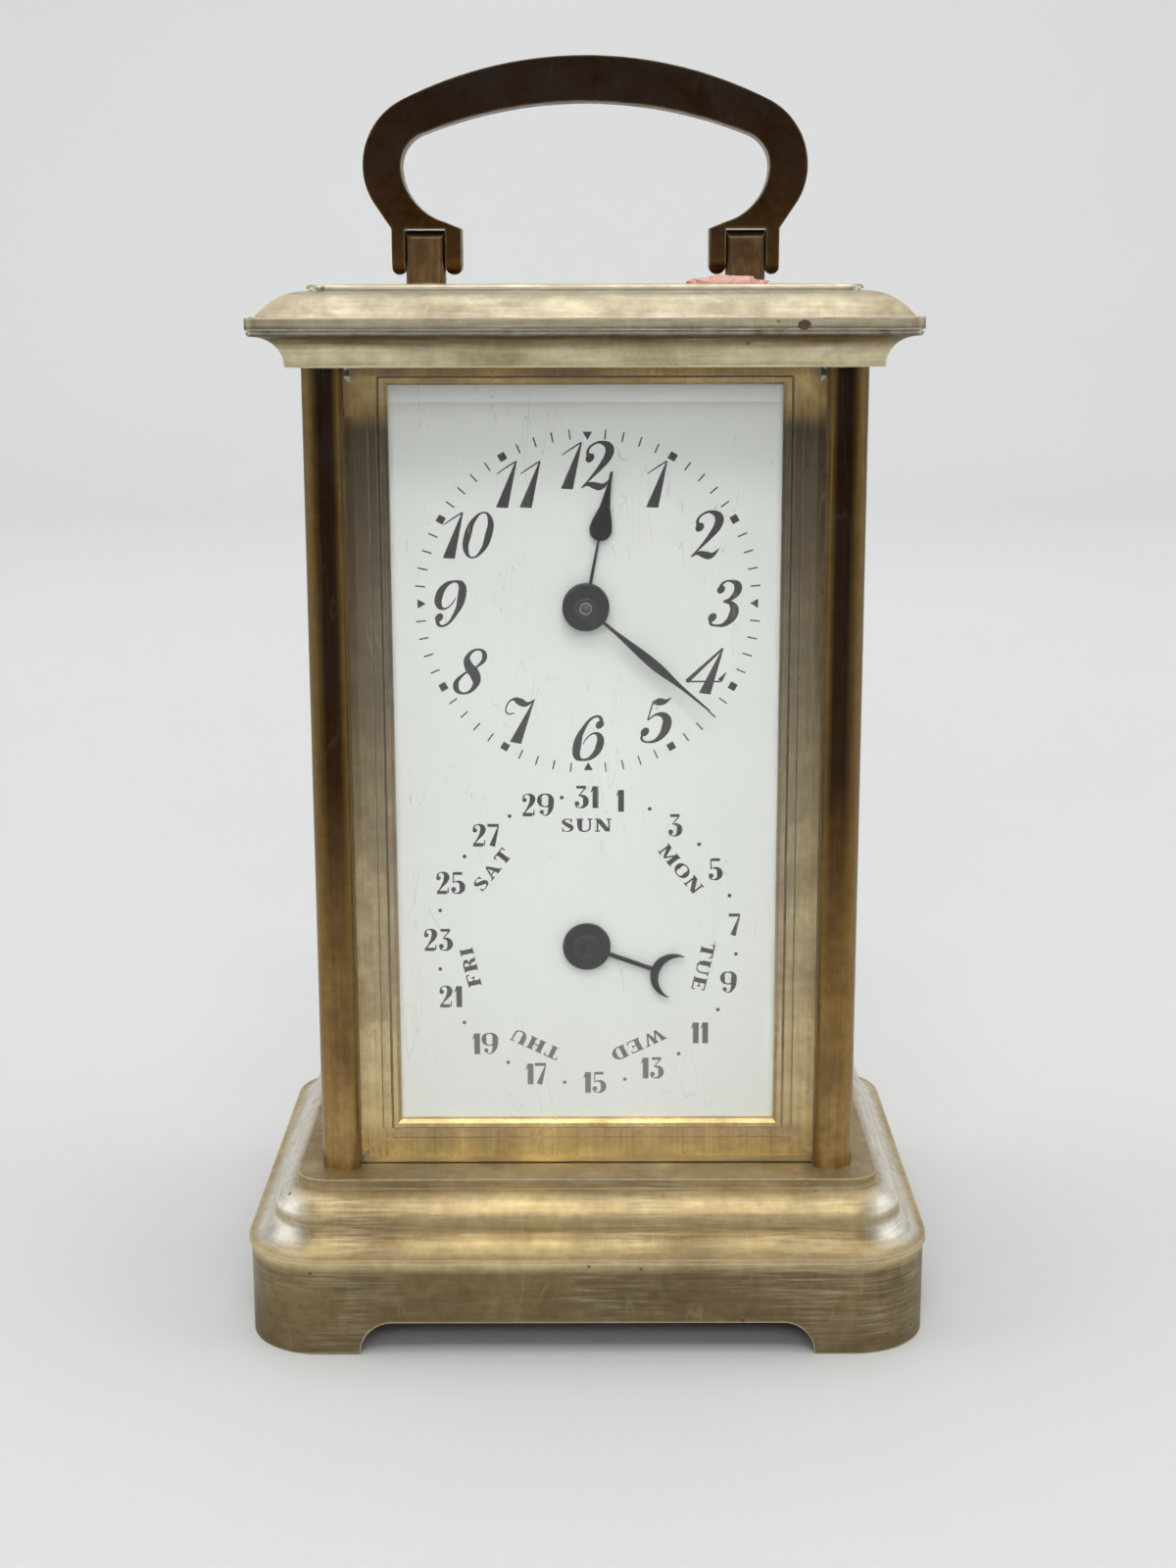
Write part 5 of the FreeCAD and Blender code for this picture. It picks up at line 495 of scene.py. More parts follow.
def make_case_finishes():
    # Base: colour by height up the moulding, with painted highlights in the bright bands of the ogee and painted shade
    # in the dark bands.
    base_tones_painted_light_and_shade = (0.0, 22.2, (
        (0.0, srgb(144, 128, 94)), (11.4, srgb(148, 132, 98)), (12.8, srgb(240, 220, 172)),
        (15.4, srgb(158, 138, 94)), (18.2, srgb(216, 196, 148)), (22.0, srgb(184, 164, 120))))
    # Columns: painted reflection and painted shade, light low down and dark towards the lid.
    column_tones_painted_light_and_shade = (22.0, 132.0, (
        (22.0, srgb(196, 166, 110)), (48.0, srgb(146, 116, 70)), (76.0, srgb(62, 41, 20)),
        (131.0, srgb(42, 25, 12))))
    # Lid: painted highlights and painted shade in bands up the moulding, dark under the band.
    lid_tones_painted_light_and_shade = (129.0, 139.5, (
        (129.2, srgb(224, 210, 172)), (131.4, srgb(222, 210, 178)), (132.6, srgb(158, 140, 104)),
        (133.2, srgb(96, 78, 46)), (134.0, srgb(90, 74, 46)), (134.5, srgb(192, 182, 158)),
        (139.4, srgb(216, 206, 180))))
    # Dial mask: painted shade, darker towards the top under the lid, and painted light lower down and on its top edge.
    mask_tones_painted_light_and_shade = (24.0, 128.5, (
        (24.0, srgb(250, 222, 150)), (30.0, srgb(236, 210, 150)), (50.0, srgb(208, 188, 144)),
        (85.0, srgb(130, 108, 66)), (121.0, srgb(78, 60, 30)), (124.5, srgb(190, 158, 92))))
    # Handle: painted reflection, darker towards its top and lighter low down.
    handle_tones_painted_light_and_shade = (139.0, 170.0, (
        (139.0, srgb(92, 68, 34)), (150.0, srgb(66, 45, 22)), (160.0, srgb(48, 30, 13)), (170.0, srgb(38, 22, 9))))
    return {
        # The base's flank colour is a painted highlight, near white, on what faces sideways and up.
        "base": aged_metal("aged_base_brass_painted_light_and_shade", None, srgb(150, 130, 94), BRASS_WORN, HORIZONTAL, 0.34, 0.5,
                           tones_with_painted_light=base_tones_painted_light_and_shade, grain_depth=0.008, wear=0.55,
                           flank_painted_highlight=(srgb(250, 248, 240), 0.15, 0.5, 0.85, True)),
        # The columns' flank colour is a painted highlight, a golden strip on what faces sideways.
        "column": aged_metal("aged_column_brass_painted_light_and_shade", None, srgb(130, 100, 66), BRASS_WORN, VERTICAL, 0.27, 0.5,
                             patch=80.0, tones_with_painted_light=column_tones_painted_light_and_shade, grain_depth=0.004, edge=2.5,
                             flank_painted_highlight=(srgb(164, 132, 66), 0.2, 0.8, 0.55, False), scratched=0.02),
        "lid": aged_metal("worn_silvered_lid_painted_light_and_shade", None, srgb(150, 134, 102), srgb(222, 215, 196), HORIZONTAL, 0.30, 0.45,
                          tones_with_painted_light=lid_tones_painted_light_and_shade, patch=90.0, grain_depth=0.008, wear=0.5),
        # The handle's flank colour is a painted highlight on its sides.
        "handle": aged_metal("handle_brass_painted_light_and_shade", None, srgb(136, 100, 66), srgb(150, 124, 80), FACING,
                             0.24, 0.5, patch=110.0, tones_with_painted_light=handle_tones_painted_light_and_shade, edge=2.5, grain_depth=0.003, dust=0.03,
                             flank_painted_highlight=(srgb(128, 104, 62), 0.3, 0.95, 0.7, False), scratched=0.02),
        "post": aged_metal("post_brass", srgb(122, 98, 64), srgb(84, 61, 34), srgb(186, 170, 144), VERTICAL, 0.3,
                           0.5, patch=160.0, edge=5.0, grain_depth=0.004, dust=0.0, scratched=0.04),
        "door": aged_metal("aged_door_brass", srgb(190, 164, 108), srgb(110, 88, 54), BRASS_WORN, VERTICAL, 0.3, 0.5,
                           grain_depth=0.006),
        "mask": aged_metal("gilt_mask_painted_light_and_shade", None, srgb(150, 122, 70), srgb(226, 206, 156), VERTICAL, 0.24, 0.45,
                           patch=120.0, tones_with_painted_light=mask_tones_painted_light_and_shade, grain_depth=0.003, edge=2.0, metal_loss=0.1,
                           dust=0.05),
    }


def make_movement_finishes():
    brass = srgb(216, 184, 112)
    return {
        "plate": aged_metal("brushed_plate_brass", brass, srgb(176, 140, 78), srgb(236, 214, 160), VERTICAL, 0.26,
                            0.35, edge=3.0, grain_depth=0.006, dust=0.08, metal_loss=0.05),
        "wheel": aged_metal("wheel_brass", srgb(222, 190, 116), srgb(182, 146, 84), srgb(240, 220, 168), FACING, 0.22,
                            0.3, patch=140.0, edge=2.0, grain_depth=0.004, dust=0.04, metal_loss=0.05),
        "steel": aged_metal("polished_steel", srgb(188, 190, 192), srgb(140, 138, 134), srgb(225, 226, 228), FACING,
                            0.16, 0.3, patch=200.0, edge=2.0, grain_depth=0.002, dust=0.03, metal_loss=0.0),
        "spring": aged_metal("spring_steel", srgb(120, 126, 138), srgb(78, 80, 90), srgb(190, 194, 200), FACING, 0.24,
                             0.4, patch=160.0, edge=2.0, grain_depth=0.003, dust=0.0, metal_loss=0.0),
        "blued": aged_metal("blued_screw_steel", srgb(44, 62, 128), srgb(34, 34, 70), srgb(150, 158, 190), FACING,
                            0.18, 0.4, patch=220.0, edge=3.0, grain_depth=0.002, dust=0.02, metal_loss=0.0),
        "pin": aged_metal("dark_pin_brass", srgb(110, 92, 70), srgb(70, 54, 38), srgb(150, 134, 108), FACING, 0.3,
                          0.5, patch=300.0, edge=2.0, grain_depth=0.002, dust=0.0),
        "black": aged_metal("blackened_hand_steel", srgb(20, 20, 22), srgb(28, 27, 27), srgb(80, 78, 76), FACING,
                            0.34, 0.4, patch=200.0, edge=3.0, grain_depth=0.002, dust=0.04, metal_loss=0.3),
    }


def make_dial_finish():
    finish = Finish("white_enamel_dial")
    tree = finish.tree
    stain = finish.effect("patina", scale=26.0, cover=0.4, soft=0.2)
    yellowed = finish.effect("patina", scale=90.0, cover=0.3, soft=0.08)
    specks = finish.effect("specks", scale=210.0, size=0.13, share=0.22)
    marks = finish.effect("scratches", scale=420.0, width=0.002)
    tone = blend_colors(tree, stain, srgb(230, 231, 228), srgb(223, 224, 220))
    tone = blend_colors(tree, times(tree, yellowed, 0.25), tone, srgb(224, 216, 200))
    tone = blend_colors(tree, times(tree, marks, 0.35), tone, srgb(150, 146, 136))
    finish.color(blend_colors(tree, times(tree, specks, 0.75), tone, srgb(104, 90, 74)))
    finish.rough(spread(tree, stain, 0.0, 1.0, 0.32, 0.42))
    finish.relief(calculate(tree, "SUBTRACT", 1.0, calculate(tree, "ADD", marks, specks)), 0.004 * MM)
    return finish.material


def make_ink_finish():
    """Black print, greyer towards the bottom of the dial, with rubbed patches."""
    finish = Finish("dial_ink")
    tree = finish.tree
    tone = finish.ramp(finish.height(), 28.0, 122.0, (
        (28.0, srgb(122, 122, 118)), (46.0, srgb(60, 60, 58)), (62.0, srgb(14, 14, 14)), (120.0, srgb(9, 9, 9))))
    rubbed = finish.effect("patina", scale=420.0, cover=0.28, soft=0.05)
    finish.color(blend_colors(tree, times(tree, rubbed, 0.35), tone, srgb(150, 150, 145)))
    finish.rough(spread(tree, rubbed, 0.0, 1.0, 0.45, 0.6))
    finish.relief(rubbed, 0.003 * MM)
    return finish.material


def make_glass_finish():
    """Clear glass with a few smears, that lets shadow rays through so the clock inside is lit."""
    finish = Finish("clear_bevelled_glass", **{"Base Color": (0.97, 0.985, 0.975, 1.0), "Transmission Weight": 1.0,
                                               "IOR": 1.5})
    tree = finish.tree
    smear = finish.effect("patina", scale=70.0, cover=0.35, soft=0.15)
    marks = finish.effect("scratches", scale=360.0, width=0.0012)
    finish.rough(calculate(tree, "ADD", times(tree, smear, 0.012), times(tree, marks, 0.05)))
    finish.relief(marks, -0.002 * MM)
    clear = add(tree, "BsdfTransparent", {"Color": (0.93, 0.945, 0.935, 1.0)})
    shadow = add(tree, "LightPath").outputs["Is Shadow Ray"]
    mixed = add(tree, "MixShader", {0: shadow, 1: finish.shader.outputs[0], 2: clear.outputs[0]})
    tree.links.new(mixed.outputs[0], finish.output.inputs["Surface"])
    return finish.material


def make_felt_finish():
    finish = Finish("pink_felt", **{"Roughness": 0.95})
    tree = finish.tree
    fluff = finish.effect("patina", scale=900.0, cover=0.5, soft=0.2)
    finish.color(blend_colors(tree, fluff, srgb(236, 196, 184), srgb(222, 160, 148)))
    finish.relief(fluff, 0.15 * MM)
    return finish.material


def make_stain_finish():
    finish = Finish("dark_rust_spot", **{"Metallic": 0.0})
    tree = finish.tree
    mottled = finish.effect("patina", scale=1200.0, cover=0.5, soft=0.15)
    finish.color(blend_colors(tree, mottled, srgb(84, 60, 28), srgb(48, 32, 16)))
    finish.rough(spread(tree, mottled, 0.0, 1.0, 0.5, 0.7))
    finish.relief(mottled, 0.02 * MM)
    return finish.material


def build_groups():
    Finish.groups = {"grain": grain_group(), "patina": patina_group(), "edges": edge_group(), "specks": speck_group(),
                     "scratches": scratch_group(), "dust": dust_group()}


NODE_FINISHES = {
    "base": ("base_moulding",),
    "column": ("column_front_left", "column_front_right", "column_rear_left", "column_rear_right"),
    "lid": ("lid_moulding", "lid_top_slab"),
    "handle": ("handle",),
    "post": ("handle_posts", "handle_pins"),
    "door": ("door_frame", "door_knob"),
    "mask": ("dial_mask",),
    "glass": ("front_glass", "left_glass", "right_glass", "lid_glass", "door_glass"),
    "dial": ("dial_plate",),
    "plate": ("front_plate", "rear_plate", "plate_pillars", "platform_plate", "balance_cock", "escape_bridge",
              "escape_potence", "barrel_cap", "mainspring_barrel", "dial_feet", "wheel_and_click_studs"),
    "wheel": ("centre_wheel", "third_wheel", "intermediate_wheel", "contrate_wheel", "minute_wheel", "hour_wheel",
              "calendar_idler", "calendar_wheel", "balance_wheel"),
    "steel": ("barrel_arbor", "ratchet_wheel", "click", "centre_arbor", "cannon_pinion", "centre_pinion",
              "third_pinion", "intermediate_pinion", "contrate_pinion", "escape_pinion", "escape_wheel",
              "pallet_lever", "balance_staff"),
    "spring": ("mainspring", "hairspring", "click_spring"),
    "blued": ("column_screws", "movement_screws"),
    "black": ("hour_hand", "minute_hand", "calendar_hand"),
}


def finish_nodes(frame, finishes):
    for kind, names in NODE_FINISHES.items():
        for name in names:
            slots = frame["nodes"][name].data.materials
            slots.clear()
            slots.append(finishes[kind])


# ---------------------------------------------------------------- geometry


def new_piece(name, work, finish, body, smooth=False):
    """Makes a piece from a bmesh in metres, in the clock's frame, and lets it ride on a body."""
    bmesh.ops.recalc_face_normals(work, faces=work.faces)
    mesh = bpy.data.meshes.new(name)
    work.to_mesh(mesh)
    work.free()
    mesh.polygons.foreach_set("use_smooth", [smooth] * len(mesh.polygons))
    mesh.materials.append(finish)
    piece = bpy.data.objects.new(name, mesh)
    bpy.context.scene.collection.objects.link(piece)
    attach(piece, body)
    return piece


def draw_pen(strokes, weight):
    """The strokes as a mesh: round-pen curves, with a disc for each dot. Weight widens every stroke."""
    curve = bpy.data.curves.new("pen", "CURVE")
    curve.dimensions = "3D"
    curve.twist_mode = "Z_UP"
    curve.bevel_depth = 1.0
    curve.bevel_resolution = 0
    curve.use_fill_caps = True
    for kind, *points in strokes:
        if kind == "dot":
            continue
        spline = curve.splines.new("BEZIER")
        spline.resolution_u = 1 if kind == "line" else 5
        spline.radius_interpolation = "LINEAR" if kind == "line" else "CARDINAL"
        spline.use_cyclic_u = kind == "loop"
        spline.bezier_points.add(len(points) - 1)
        for knot, (across, up, pen) in zip(spline.bezier_points, points):
            knot.handle_left_type = knot.handle_right_type = "VECTOR" if kind == "line" else "AUTO"
            knot.co = (across, up, 0)
            knot.radius = pen * weight
    carrier = bpy.data.objects.new("pen", curve)
    drawn = bpy.data.meshes.new_from_object(carrier)
    work = bmesh.new()
    work.from_mesh(drawn)
    for kind, *points in strokes:
        if kind == "dot":
            across, up, pen = points[0]
            bmesh.ops.create_uvsphere(work, u_segments=14, v_segments=4, radius=pen * weight,
                                      matrix=Matrix.Translation((across, up, 0)))
    bpy.data.objects.remove(carrier)
    bpy.data.curves.remove(curve)
    bpy.data.meshes.remove(drawn)
    return work


def add_mesh(target, source):
    """Copies one bmesh into another, and frees the first."""
    carried = bpy.data.meshes.new("carried")
    source.to_mesh(carried)
    source.free()
    target.from_mesh(carried)
    bpy.data.meshes.remove(carried)


def write_word(target, word, alphabet, height, gap, slant, place, stretch, weight):
    """Writes a word into target, centred on place, a matrix whose x runs along the word and y to its top."""
    line = bmesh.new()
    reach = 0.0
    for letter in word:
        drawn = draw_pen(alphabet[letter], weight)
        bmesh.ops.scale(drawn, verts=drawn.verts, vec=(stretch, 1, 1))
        low = min(v.co.x for v in drawn.verts)
        bmesh.ops.translate(drawn, verts=drawn.verts, vec=(reach - low, 0, 0))
        reach = max(v.co.x for v in drawn.verts) + gap
        add_mesh(line, drawn)
    for v in line.verts:
        v.co.x += slant * v.co.y
    low = min(v.co.x for v in line.verts)
    high = max(v.co.x for v in line.verts)
    flat = Matrix.Diagonal((height * MM, height * MM, INK_THICKNESS * MM / PEN_DEPTH, 1))
    centre = Matrix.Translation((-(low + high) / 2, -0.5, 0))
    bmesh.ops.transform(line, verts=line.verts, matrix=place @ flat @ centre)
    add_mesh(target, line)


def on_dial(centre, face, angle, radius, turn=0.0):
    """A place on the dial, angle clockwise from the top. Its x and y lie in the dial, turned clockwise by turn."""
    across = centre.x + radius * MM * math.sin(math.radians(angle))
    up = centre.z + radius * MM * math.cos(math.radians(angle))
    upright = Matrix.Rotation(math.radians(90), 4, "X")
    return Matrix.Translation((across, face, up)) @ upright @ Matrix.Rotation(math.radians(-turn), 4, "Z")


def print_time_dial(centre, face, ink):
    numerals = bmesh.new()
    for hour in range(1, 13):
        write_word(numerals, str(hour), HOUR_DIGITS, HOUR_HEIGHT, DIGIT_GAP, ITALIC_SLANT,
                   on_dial(centre, face, 30 * hour, HOUR_RING), HOUR_STRETCH, HOUR_PEN)
    new_piece("hour_numerals", numerals, ink, "case")
    track = bmesh.new()
    for minute in range(60):
        angle = 6 * minute
        if minute % 15 == 0:
            place = on_dial(centre, face, angle, TRACK_RADIUS - QUARTER_INSET, angle + 180)
            reach = HOUR_MARK * QUARTER_SIZE * MM
            bmesh.ops.create_cone(track, cap_ends=True, segments=3, radius1=reach, radius2=reach,
                                  depth=INK_THICKNESS * MM, matrix=place)
            continue
        wide, long = (HOUR_MARK, HOUR_MARK) if minute % 5 == 0 else (TICK_WIDTH, TICK_LENGTH)
        place = on_dial(centre, face, angle, TRACK_RADIUS, angle)
        bmesh.ops.create_cube(track, size=1.0, matrix=place @ Matrix.Diagonal(
            (wide * MM, long * MM, INK_THICKNESS * MM, 1)))
    new_piece("minute_track", track, ink, "case")


def date_angle(date):
    return 0.0 if date == LAST_DATE else DATE_FIRST + (date - 1) * DATE_STEP


def print_calendar(centre, face, ink):
    dates = bmesh.new()
    dots = bmesh.new()
    for date in range(1, LAST_DATE + 1, 2):
        write_word(dates, str(date), DATE_DIGITS, DATE_HEIGHT, DIGIT_GAP, 0.0,
                   on_dial(centre, face, date_angle(date), DATE_RING), DATE_STRETCH, DATE_PEN)
        if date == LAST_DATE:
            continue
        following = date_angle(date + 2) + (360 if date + 2 == LAST_DATE else 0)
        place = on_dial(centre, face, (date_angle(date) + following) / 2, DATE_RING + DOT_RISE)
        bmesh.ops.create_cone(dots, cap_ends=True, segments=12, radius1=DATE_DOT * MM, radius2=DATE_DOT * MM,
                              depth=INK_THICKNESS * MM, matrix=place)
    new_piece("date_numerals", dates, ink, "case")
    new_piece("date_dots", dots, ink, "case")
    names = bmesh.new()
    for number, day in enumerate(DAYS):
        angle = 360 * number / len(DAYS)
        place = on_dial(centre, face, angle, DAY_RING, angle)
        write_word(names, day, LETTERS, DAY_HEIGHT, LETTER_GAP, 0.0, place, LETTER_STRETCH, LETTER_PEN)
    new_piece("weekday_names", names, ink, "case")


def make_minute_hand(centre, finish):
    """The minute hand: a flat hub, a boss, and a blade that swells into a slim leaf."""
    low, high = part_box("minute_hand")
    work = bmesh.new()
    place = on_dial(centre, high.y, MINUTE_ANGLE, 0.0, MINUTE_ANGLE)
    for radius, thick in ((MINUTE_HUB * MM, HAND_THICKNESS * MM), (MINUTE_BOSS * MM, high.y - low.y)):
        bmesh.ops.create_cone(work, cap_ends=True, segments=64, radius1=radius, radius2=radius, depth=thick,
                              matrix=place @ Matrix.Translation((0, 0, thick / 2)))
    outline = [(-side, along) for along, side in MINUTE_BLADE]
    outline += [(side, along) for along, side in reversed(MINUTE_BLADE)]
    flat = work.faces.new([work.verts.new(place @ Vector((side * MM, along * MM, 0))) for side, along in outline])
    raised = bmesh.ops.extrude_face_region(work, geom=[flat])["geom"]
    bmesh.ops.translate(work, verts=[v for v in raised if isinstance(v, bmesh.types.BMVert)],
                        vec=(0, -HAND_THICKNESS * MM, 0))
    made = new_piece("minute_hand_leaf", work, finish, "minute_hand_arbor")
    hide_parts("minute_hand")


def turned_piece(name, outline, centre, finish, body):
    """A round piece turned about the y axis through centre. The outline is (radius, y) pairs in metres."""
    work = bmesh.new()
    knots = [work.verts.new((radius, y, 0)) for radius, y in outline]
    edges = [work.edges.new(pair) for pair in zip(knots, knots[1:])]
    bmesh.ops.spin(work, geom=knots + edges, cent=(0, 0, 0), axis=(0, 1, 0), dvec=(0, 0, 0), angle=math.tau,
                   steps=24, use_merge=True, use_duplicate=False)
    bmesh.ops.remove_doubles(work, verts=work.verts, dist=1e-7)
    bmesh.ops.translate(work, verts=work.verts, vec=(centre.x, 0, centre.z))
    new_piece(name, work, finish, body, smooth=True)


def make_felt_scrap(finish, table):
    """A torn scrap of felt on the lid, at the foot of the right-hand post. Half sizes are in millimetres."""
    half_wide, half_deep, half_high, underside = 4.9, 1.0, 0.95, -0.15
    across, back, lift = 0.019, -0.0035, 0.1 * MM
    work = bmesh.new()
    bmesh.ops.create_icosphere(work, subdivisions=5, radius=1.0)
    for v in work.verts:
        ragged = 1.0 + 0.3 * noise.noise(v.co * 2.3) + 0.16 * noise.noise(v.co * 9.0)
        v.co = Vector((v.co.x * half_wide * ragged, v.co.y * half_deep, max(v.co.z, underside) * half_high * ragged))
    bmesh.ops.transform(work, verts=work.verts,
                        matrix=Matrix.Translation((across, back, table + lift)) @ Matrix.Scale(MM, 4))
    new_piece("felt_scrap", work, finish, "case", smooth=True)


def make_rust_spot(finish, front):
    """A dark spot on the front of the lid's band. Half sizes are in millimetres."""
    half_wide, half_deep, half_high = 0.8, 0.03, 0.6
    across, up = 0.0269, 0.1345
    work = bmesh.new()
    bmesh.ops.create_icosphere(work, subdivisions=3, radius=1.0)
    for v in work.verts:
        ragged = 1.0 + 0.25 * noise.noise(v.co * 2.0)
        v.co = Vector((v.co.x * half_wide * ragged, v.co.y * half_deep, v.co.z * half_high * ragged))
    bmesh.ops.transform(work, verts=work.verts,
                        matrix=Matrix.Translation((across, front, up)) @ Matrix.Scale(MM, 4))
    new_piece("rust_spot", work, finish, "case", smooth=True)


# Screw heads, as shares of their rise and radius: the floor of the slot, half its width, and the crown.
SLOT_FLOOR = 0.55
SLOT_HALF = 0.16
CROWN = 0.93
RIM_STEPS = 12


def slotted_head(target, place, radius, rise):
    """A screw head on place, a matrix whose z points out of the head, with a slot along x."""
    floor = SLOT_FLOOR * rise
    bmesh.ops.create_cone(target, cap_ends=True, segments=28, radius1=radius, radius2=radius, depth=floor,
                          matrix=place @ Matrix.Translation((0, 0, floor / 2)))
    start = math.asin(SLOT_HALF)
    for side in (0.0, math.pi):
        rim = []
        for step in range(RIM_STEPS + 1):
            angle = side + start + (math.pi - 2 * start) * step / RIM_STEPS
            rim.append(Vector((radius * math.cos(angle), radius * math.sin(angle), floor)))
        lower = [target.verts.new(place @ spot) for spot in rim]
        crown = [target.verts.new(place @ (spot * CROWN + Vector((0, 0, rise - CROWN * floor)))) for spot in rim]
        target.faces.new(lower[::-1])
        target.faces.new(crown)
        for index, spot in enumerate(lower):
            after = (index + 1) % len(lower)
            target.faces.new((spot, lower[after], crown[after], crown[index]))


def make_platform_screws(places, finish):
    """Small screws that hold the platform, the balance cock and the escape bridge. Sizes are in millimetres."""
    inset, radius, rise = 3.0, 1.5, 0.9
    small_radius, small_rise, small_turn = 1.3, 0.8, 0.6
    cock_reach, bridge_reach = 10.7, -7.7
    escape, balance = places["escape_turn"], places["balance_swing"]
    along = (balance - escape).normalized()
    low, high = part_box("platform_plate")
    work = bmesh.new()
    for across in (low.x + inset * MM, high.x - inset * MM):
        for back in (low.y + inset * MM, high.y - inset * MM):
            slot_turn = Matrix.Rotation(across * 90 + back * 40, 4, "Z")
            slotted_head(work, Matrix.Translation((across, back, high.z)) @ slot_turn, radius * MM, rise * MM)
    for node, origin, reach in (("balance_cock", balance, cock_reach), ("escape_bridge", escape, bridge_reach)):
        spot = origin + along * reach * MM
        place = Matrix.Translation((spot.x, spot.y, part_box(node)[1].z)) @ Matrix.Rotation(small_turn, 4, "Z")
        slotted_head(work, place, small_radius * MM, small_rise * MM)
    new_piece("platform_screws", work, finish, "case")


# The middles of the hands: piece, hand, joint, finish, body and slot, then the outline as radius and rise in front of
# the hand, in millimetres.
HAND_CENTRES = (
    ("minute_hand_pin", "minute_hand", "minute_hand_turn", "pin", "minute_hand_arbor", "movement_brass",
     ((0, 0.45), (0.45, 0.4), (0.7, 0.15), (0.7, -0.1), (0, -0.1))),
    ("minute_hand_collet", "minute_hand", "minute_hand_turn", "black", "minute_hand_arbor", "black_steel",
     ((0.95, -0.05), (1.0, 0.18), (1.2, 0.18), (1.3, -0.05), (0.95, -0.05))),
    ("calendar_hand_pin", "calendar_hand", "calendar_hand_turn", "black", "calendar_hand_arbor", "black_steel",
     ((0, 0.6), (0.5, 0.55), (0.8, 0.2), (0.8, -0.1), (0, -0.1))),
    ("calendar_hand_collet", "calendar_hand", "calendar_hand_turn", "black", "calendar_hand_arbor", "black_steel",
     ((1.15, -0.05), (1.2, 0.2), (1.5, 0.2), (1.55, -0.05), (1.15, -0.05))),
)


def make_hand_centres(places, finishes):
    """The pins and collets in the middle of the hands."""
    for name, hand, joint, kind, body, slot, outline in HAND_CENTRES:
        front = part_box(hand)[0].y
        turned_piece(name, [(radius * MM, front - rise * MM) for radius, rise in outline], places[joint],
                     finishes[kind], body)


# ---------------------------------------------------------------- studio


def make_floor():
    """A pale sweep: floor, a wide bend and a wall behind."""
    work = bmesh.new()
    depth, front, bend, wall, half = 1.1, -2.2, 0.5, 2.4, 2.6
    start = work.verts.new((-half, front, 0))
    line = [start, work.verts.new((-half, depth, 0))]
    edges = [work.edges.new(line)]
    turned = bmesh.ops.spin(work, geom=[line[1]], cent=(-half, depth, bend), axis=(1, 0, 0), dvec=(0, 0, 0),
                            angle=math.radians(90), steps=16, use_merge=False, use_duplicate=False)
    end = [v for v in turned["geom_last"] if isinstance(v, bmesh.types.BMVert)][0]
    edges.append(work.edges.new((end, work.verts.new((-half, end.co.y, wall)))))
    swept = bmesh.ops.extrude_edge_only(work, edges=work.edges[:])
    bmesh.ops.translate(work, verts=[v for v in swept["geom"] if isinstance(v, bmesh.types.BMVert)],
                        vec=(2 * half, 0, 0))
    bmesh.ops.recalc_face_normals(work, faces=work.faces)
    mesh = bpy.data.meshes.new("studio_sweep")
    work.to_mesh(mesh)
    work.free()
    mesh.polygons.foreach_set("use_smooth", [True] * len(mesh.polygons))
    finish = Finish("matt_white_paper", **{"Roughness": 0.8})
    cloudy = finish.effect("patina", scale=3.0, cover=0.5, soft=0.3)
    finish.color(blend_colors(finish.tree, cloudy, srgb(206, 207, 206), srgb(203, 204, 203)))
    mesh.materials.append(finish.material)
    floor = bpy.data.objects.new("studio_sweep", mesh)
    bpy.context.scene.collection.objects.link(floor)


# Soft lights: name, width and height, place, what it is aimed at, watts and colour. Lengths are in metres.
LIGHTS = (
    ("overhead", 1.6, 1.6, (0, 0.1, 1.5), (0, 0, 0.05), 13.0, (1.0, 0.99, 0.97)),
    ("left_window", 1.2, 1.4, (-1.5, -0.1, 0.7), (0, 0, 0.08), 8.0, (0.97, 0.99, 1.0)),
    ("right_fill", 1.2, 1.4, (1.5, -0.1, 0.7), (0, 0, 0.08), 8.0, (0.98, 0.99, 1.0)),
    ("front_low", 0.5, 0.14, (0, -0.74, 0.43), (0, -0.02, 0.08), 1.3, (1.0, 0.99, 0.98)),
    ("front_high", 0.3, 0.12, (0, -0.52, 0.76), (0, -0.02, 0.07), 1.5, (1.0, 0.99, 0.98)),
    ("table_light", 0.9, 0.7, (0, -1.2, 0.7), (0, -1.2, 0.0), 1.2, (1.0, 1.0, 0.99)),
    ("wall_wash", 2.2, 0.5, (0, 0.75, 1.1), (0, 1.5, 0.25), 7.0, (0.98, 1.0, 1.0)),
)
ROOM_COLOR = (0.93, 0.96, 1.0, 1.0)
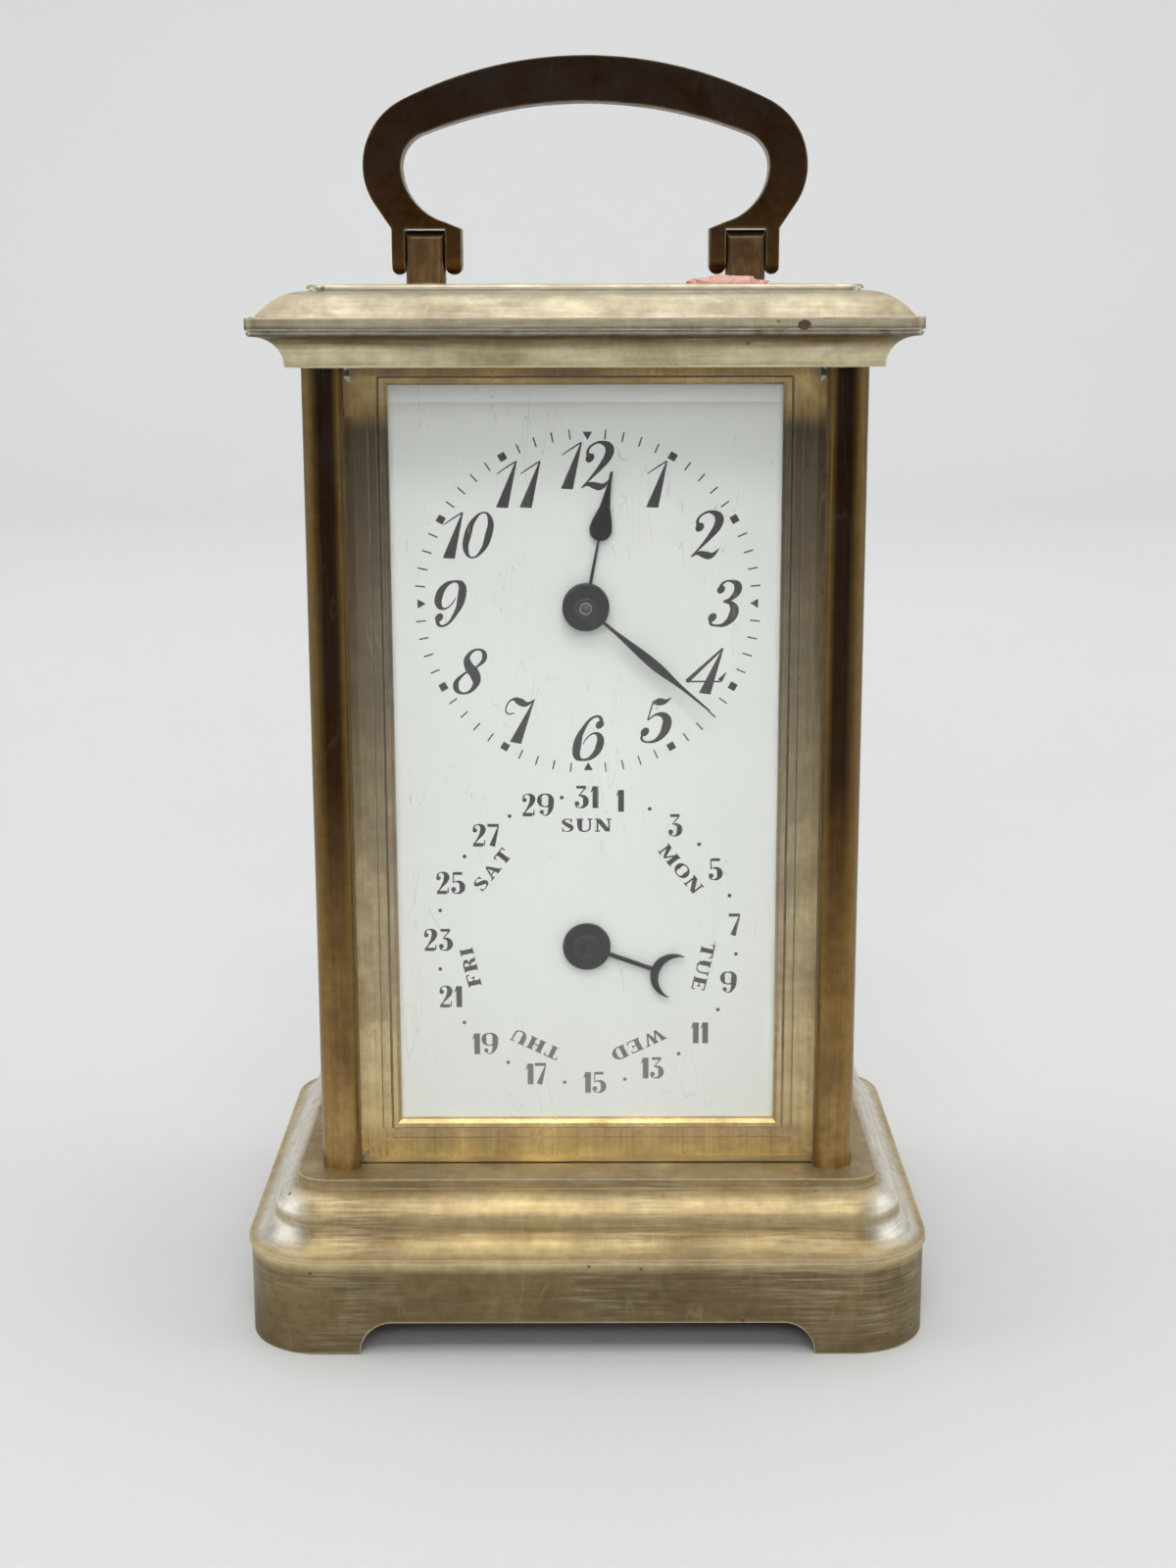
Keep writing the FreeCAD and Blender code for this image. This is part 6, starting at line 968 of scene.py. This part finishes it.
ROOM_STRENGTH = 0.35


def soft_light(name, width, height, place, aim, watts, color):
    light = bpy.data.lights.new(name, "AREA")
    light.shape = "RECTANGLE"
    light.size = width
    light.size_y = height
    light.energy = watts
    light.color = color
    made = bpy.data.objects.new(name, light)
    made.location = place
    made.rotation_euler = (Vector(aim) - Vector(place)).to_track_quat("-Z", "Y").to_euler()
    bpy.context.scene.collection.objects.link(made)


def make_studio():
    make_floor()
    for light in LIGHTS:
        soft_light(*light)
    world = bpy.data.worlds.new("room")
    world.use_nodes = True
    background = world.node_tree.nodes["Background"]
    background.inputs[0].default_value = ROOM_COLOR
    background.inputs[1].default_value = ROOM_STRENGTH
    bpy.context.scene.world = world


def make_camera():
    lens = bpy.data.cameras.new("camera")
    lens.lens = LENS
    lens.sensor_width = 36.0
    lens.shift_x = CAMERA_SHIFT
    lens.clip_start = 0.01
    camera = bpy.data.objects.new("camera", lens)
    camera.location = CAMERA_PLACE
    camera.rotation_euler = (math.radians(90) - CAMERA_TIP, CAMERA_ROLL, 0)
    bpy.context.scene.collection.objects.link(camera)
    bpy.context.scene.camera = camera


def main():
    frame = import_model()
    bpy.context.scene.view_settings.view_transform = "Standard"
    make_camera()
    build_groups()
    finishes = {**make_case_finishes(), **make_movement_finishes(), "dial": make_dial_finish(),
                "glass": make_glass_finish()}
    ink = make_ink_finish()
    finish_nodes(frame, finishes)
    places = {joint["name"]: Vector(joint["pos_m"]) for joint in frame["joints"]}
    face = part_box("dial_plate")[0].y
    print_time_dial(places["minute_hand_turn"] + Vector((TRACK_SHIFT * MM, 0, TRACK_RISE * MM)), face, ink)
    print_calendar(places["calendar_hand_turn"] + Vector((0, 0, CALENDAR_RISE * MM)), face, ink)
    make_minute_hand(places["minute_hand_turn"], finishes["black"])
    make_hand_centres(places, finishes)
    make_felt_scrap(make_felt_finish(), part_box("lid_top_slab")[1].z)
    make_rust_spot(make_stain_finish(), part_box("lid_moulding")[0].y)
    make_platform_screws(places, finishes["blued"])
    make_studio()


main()
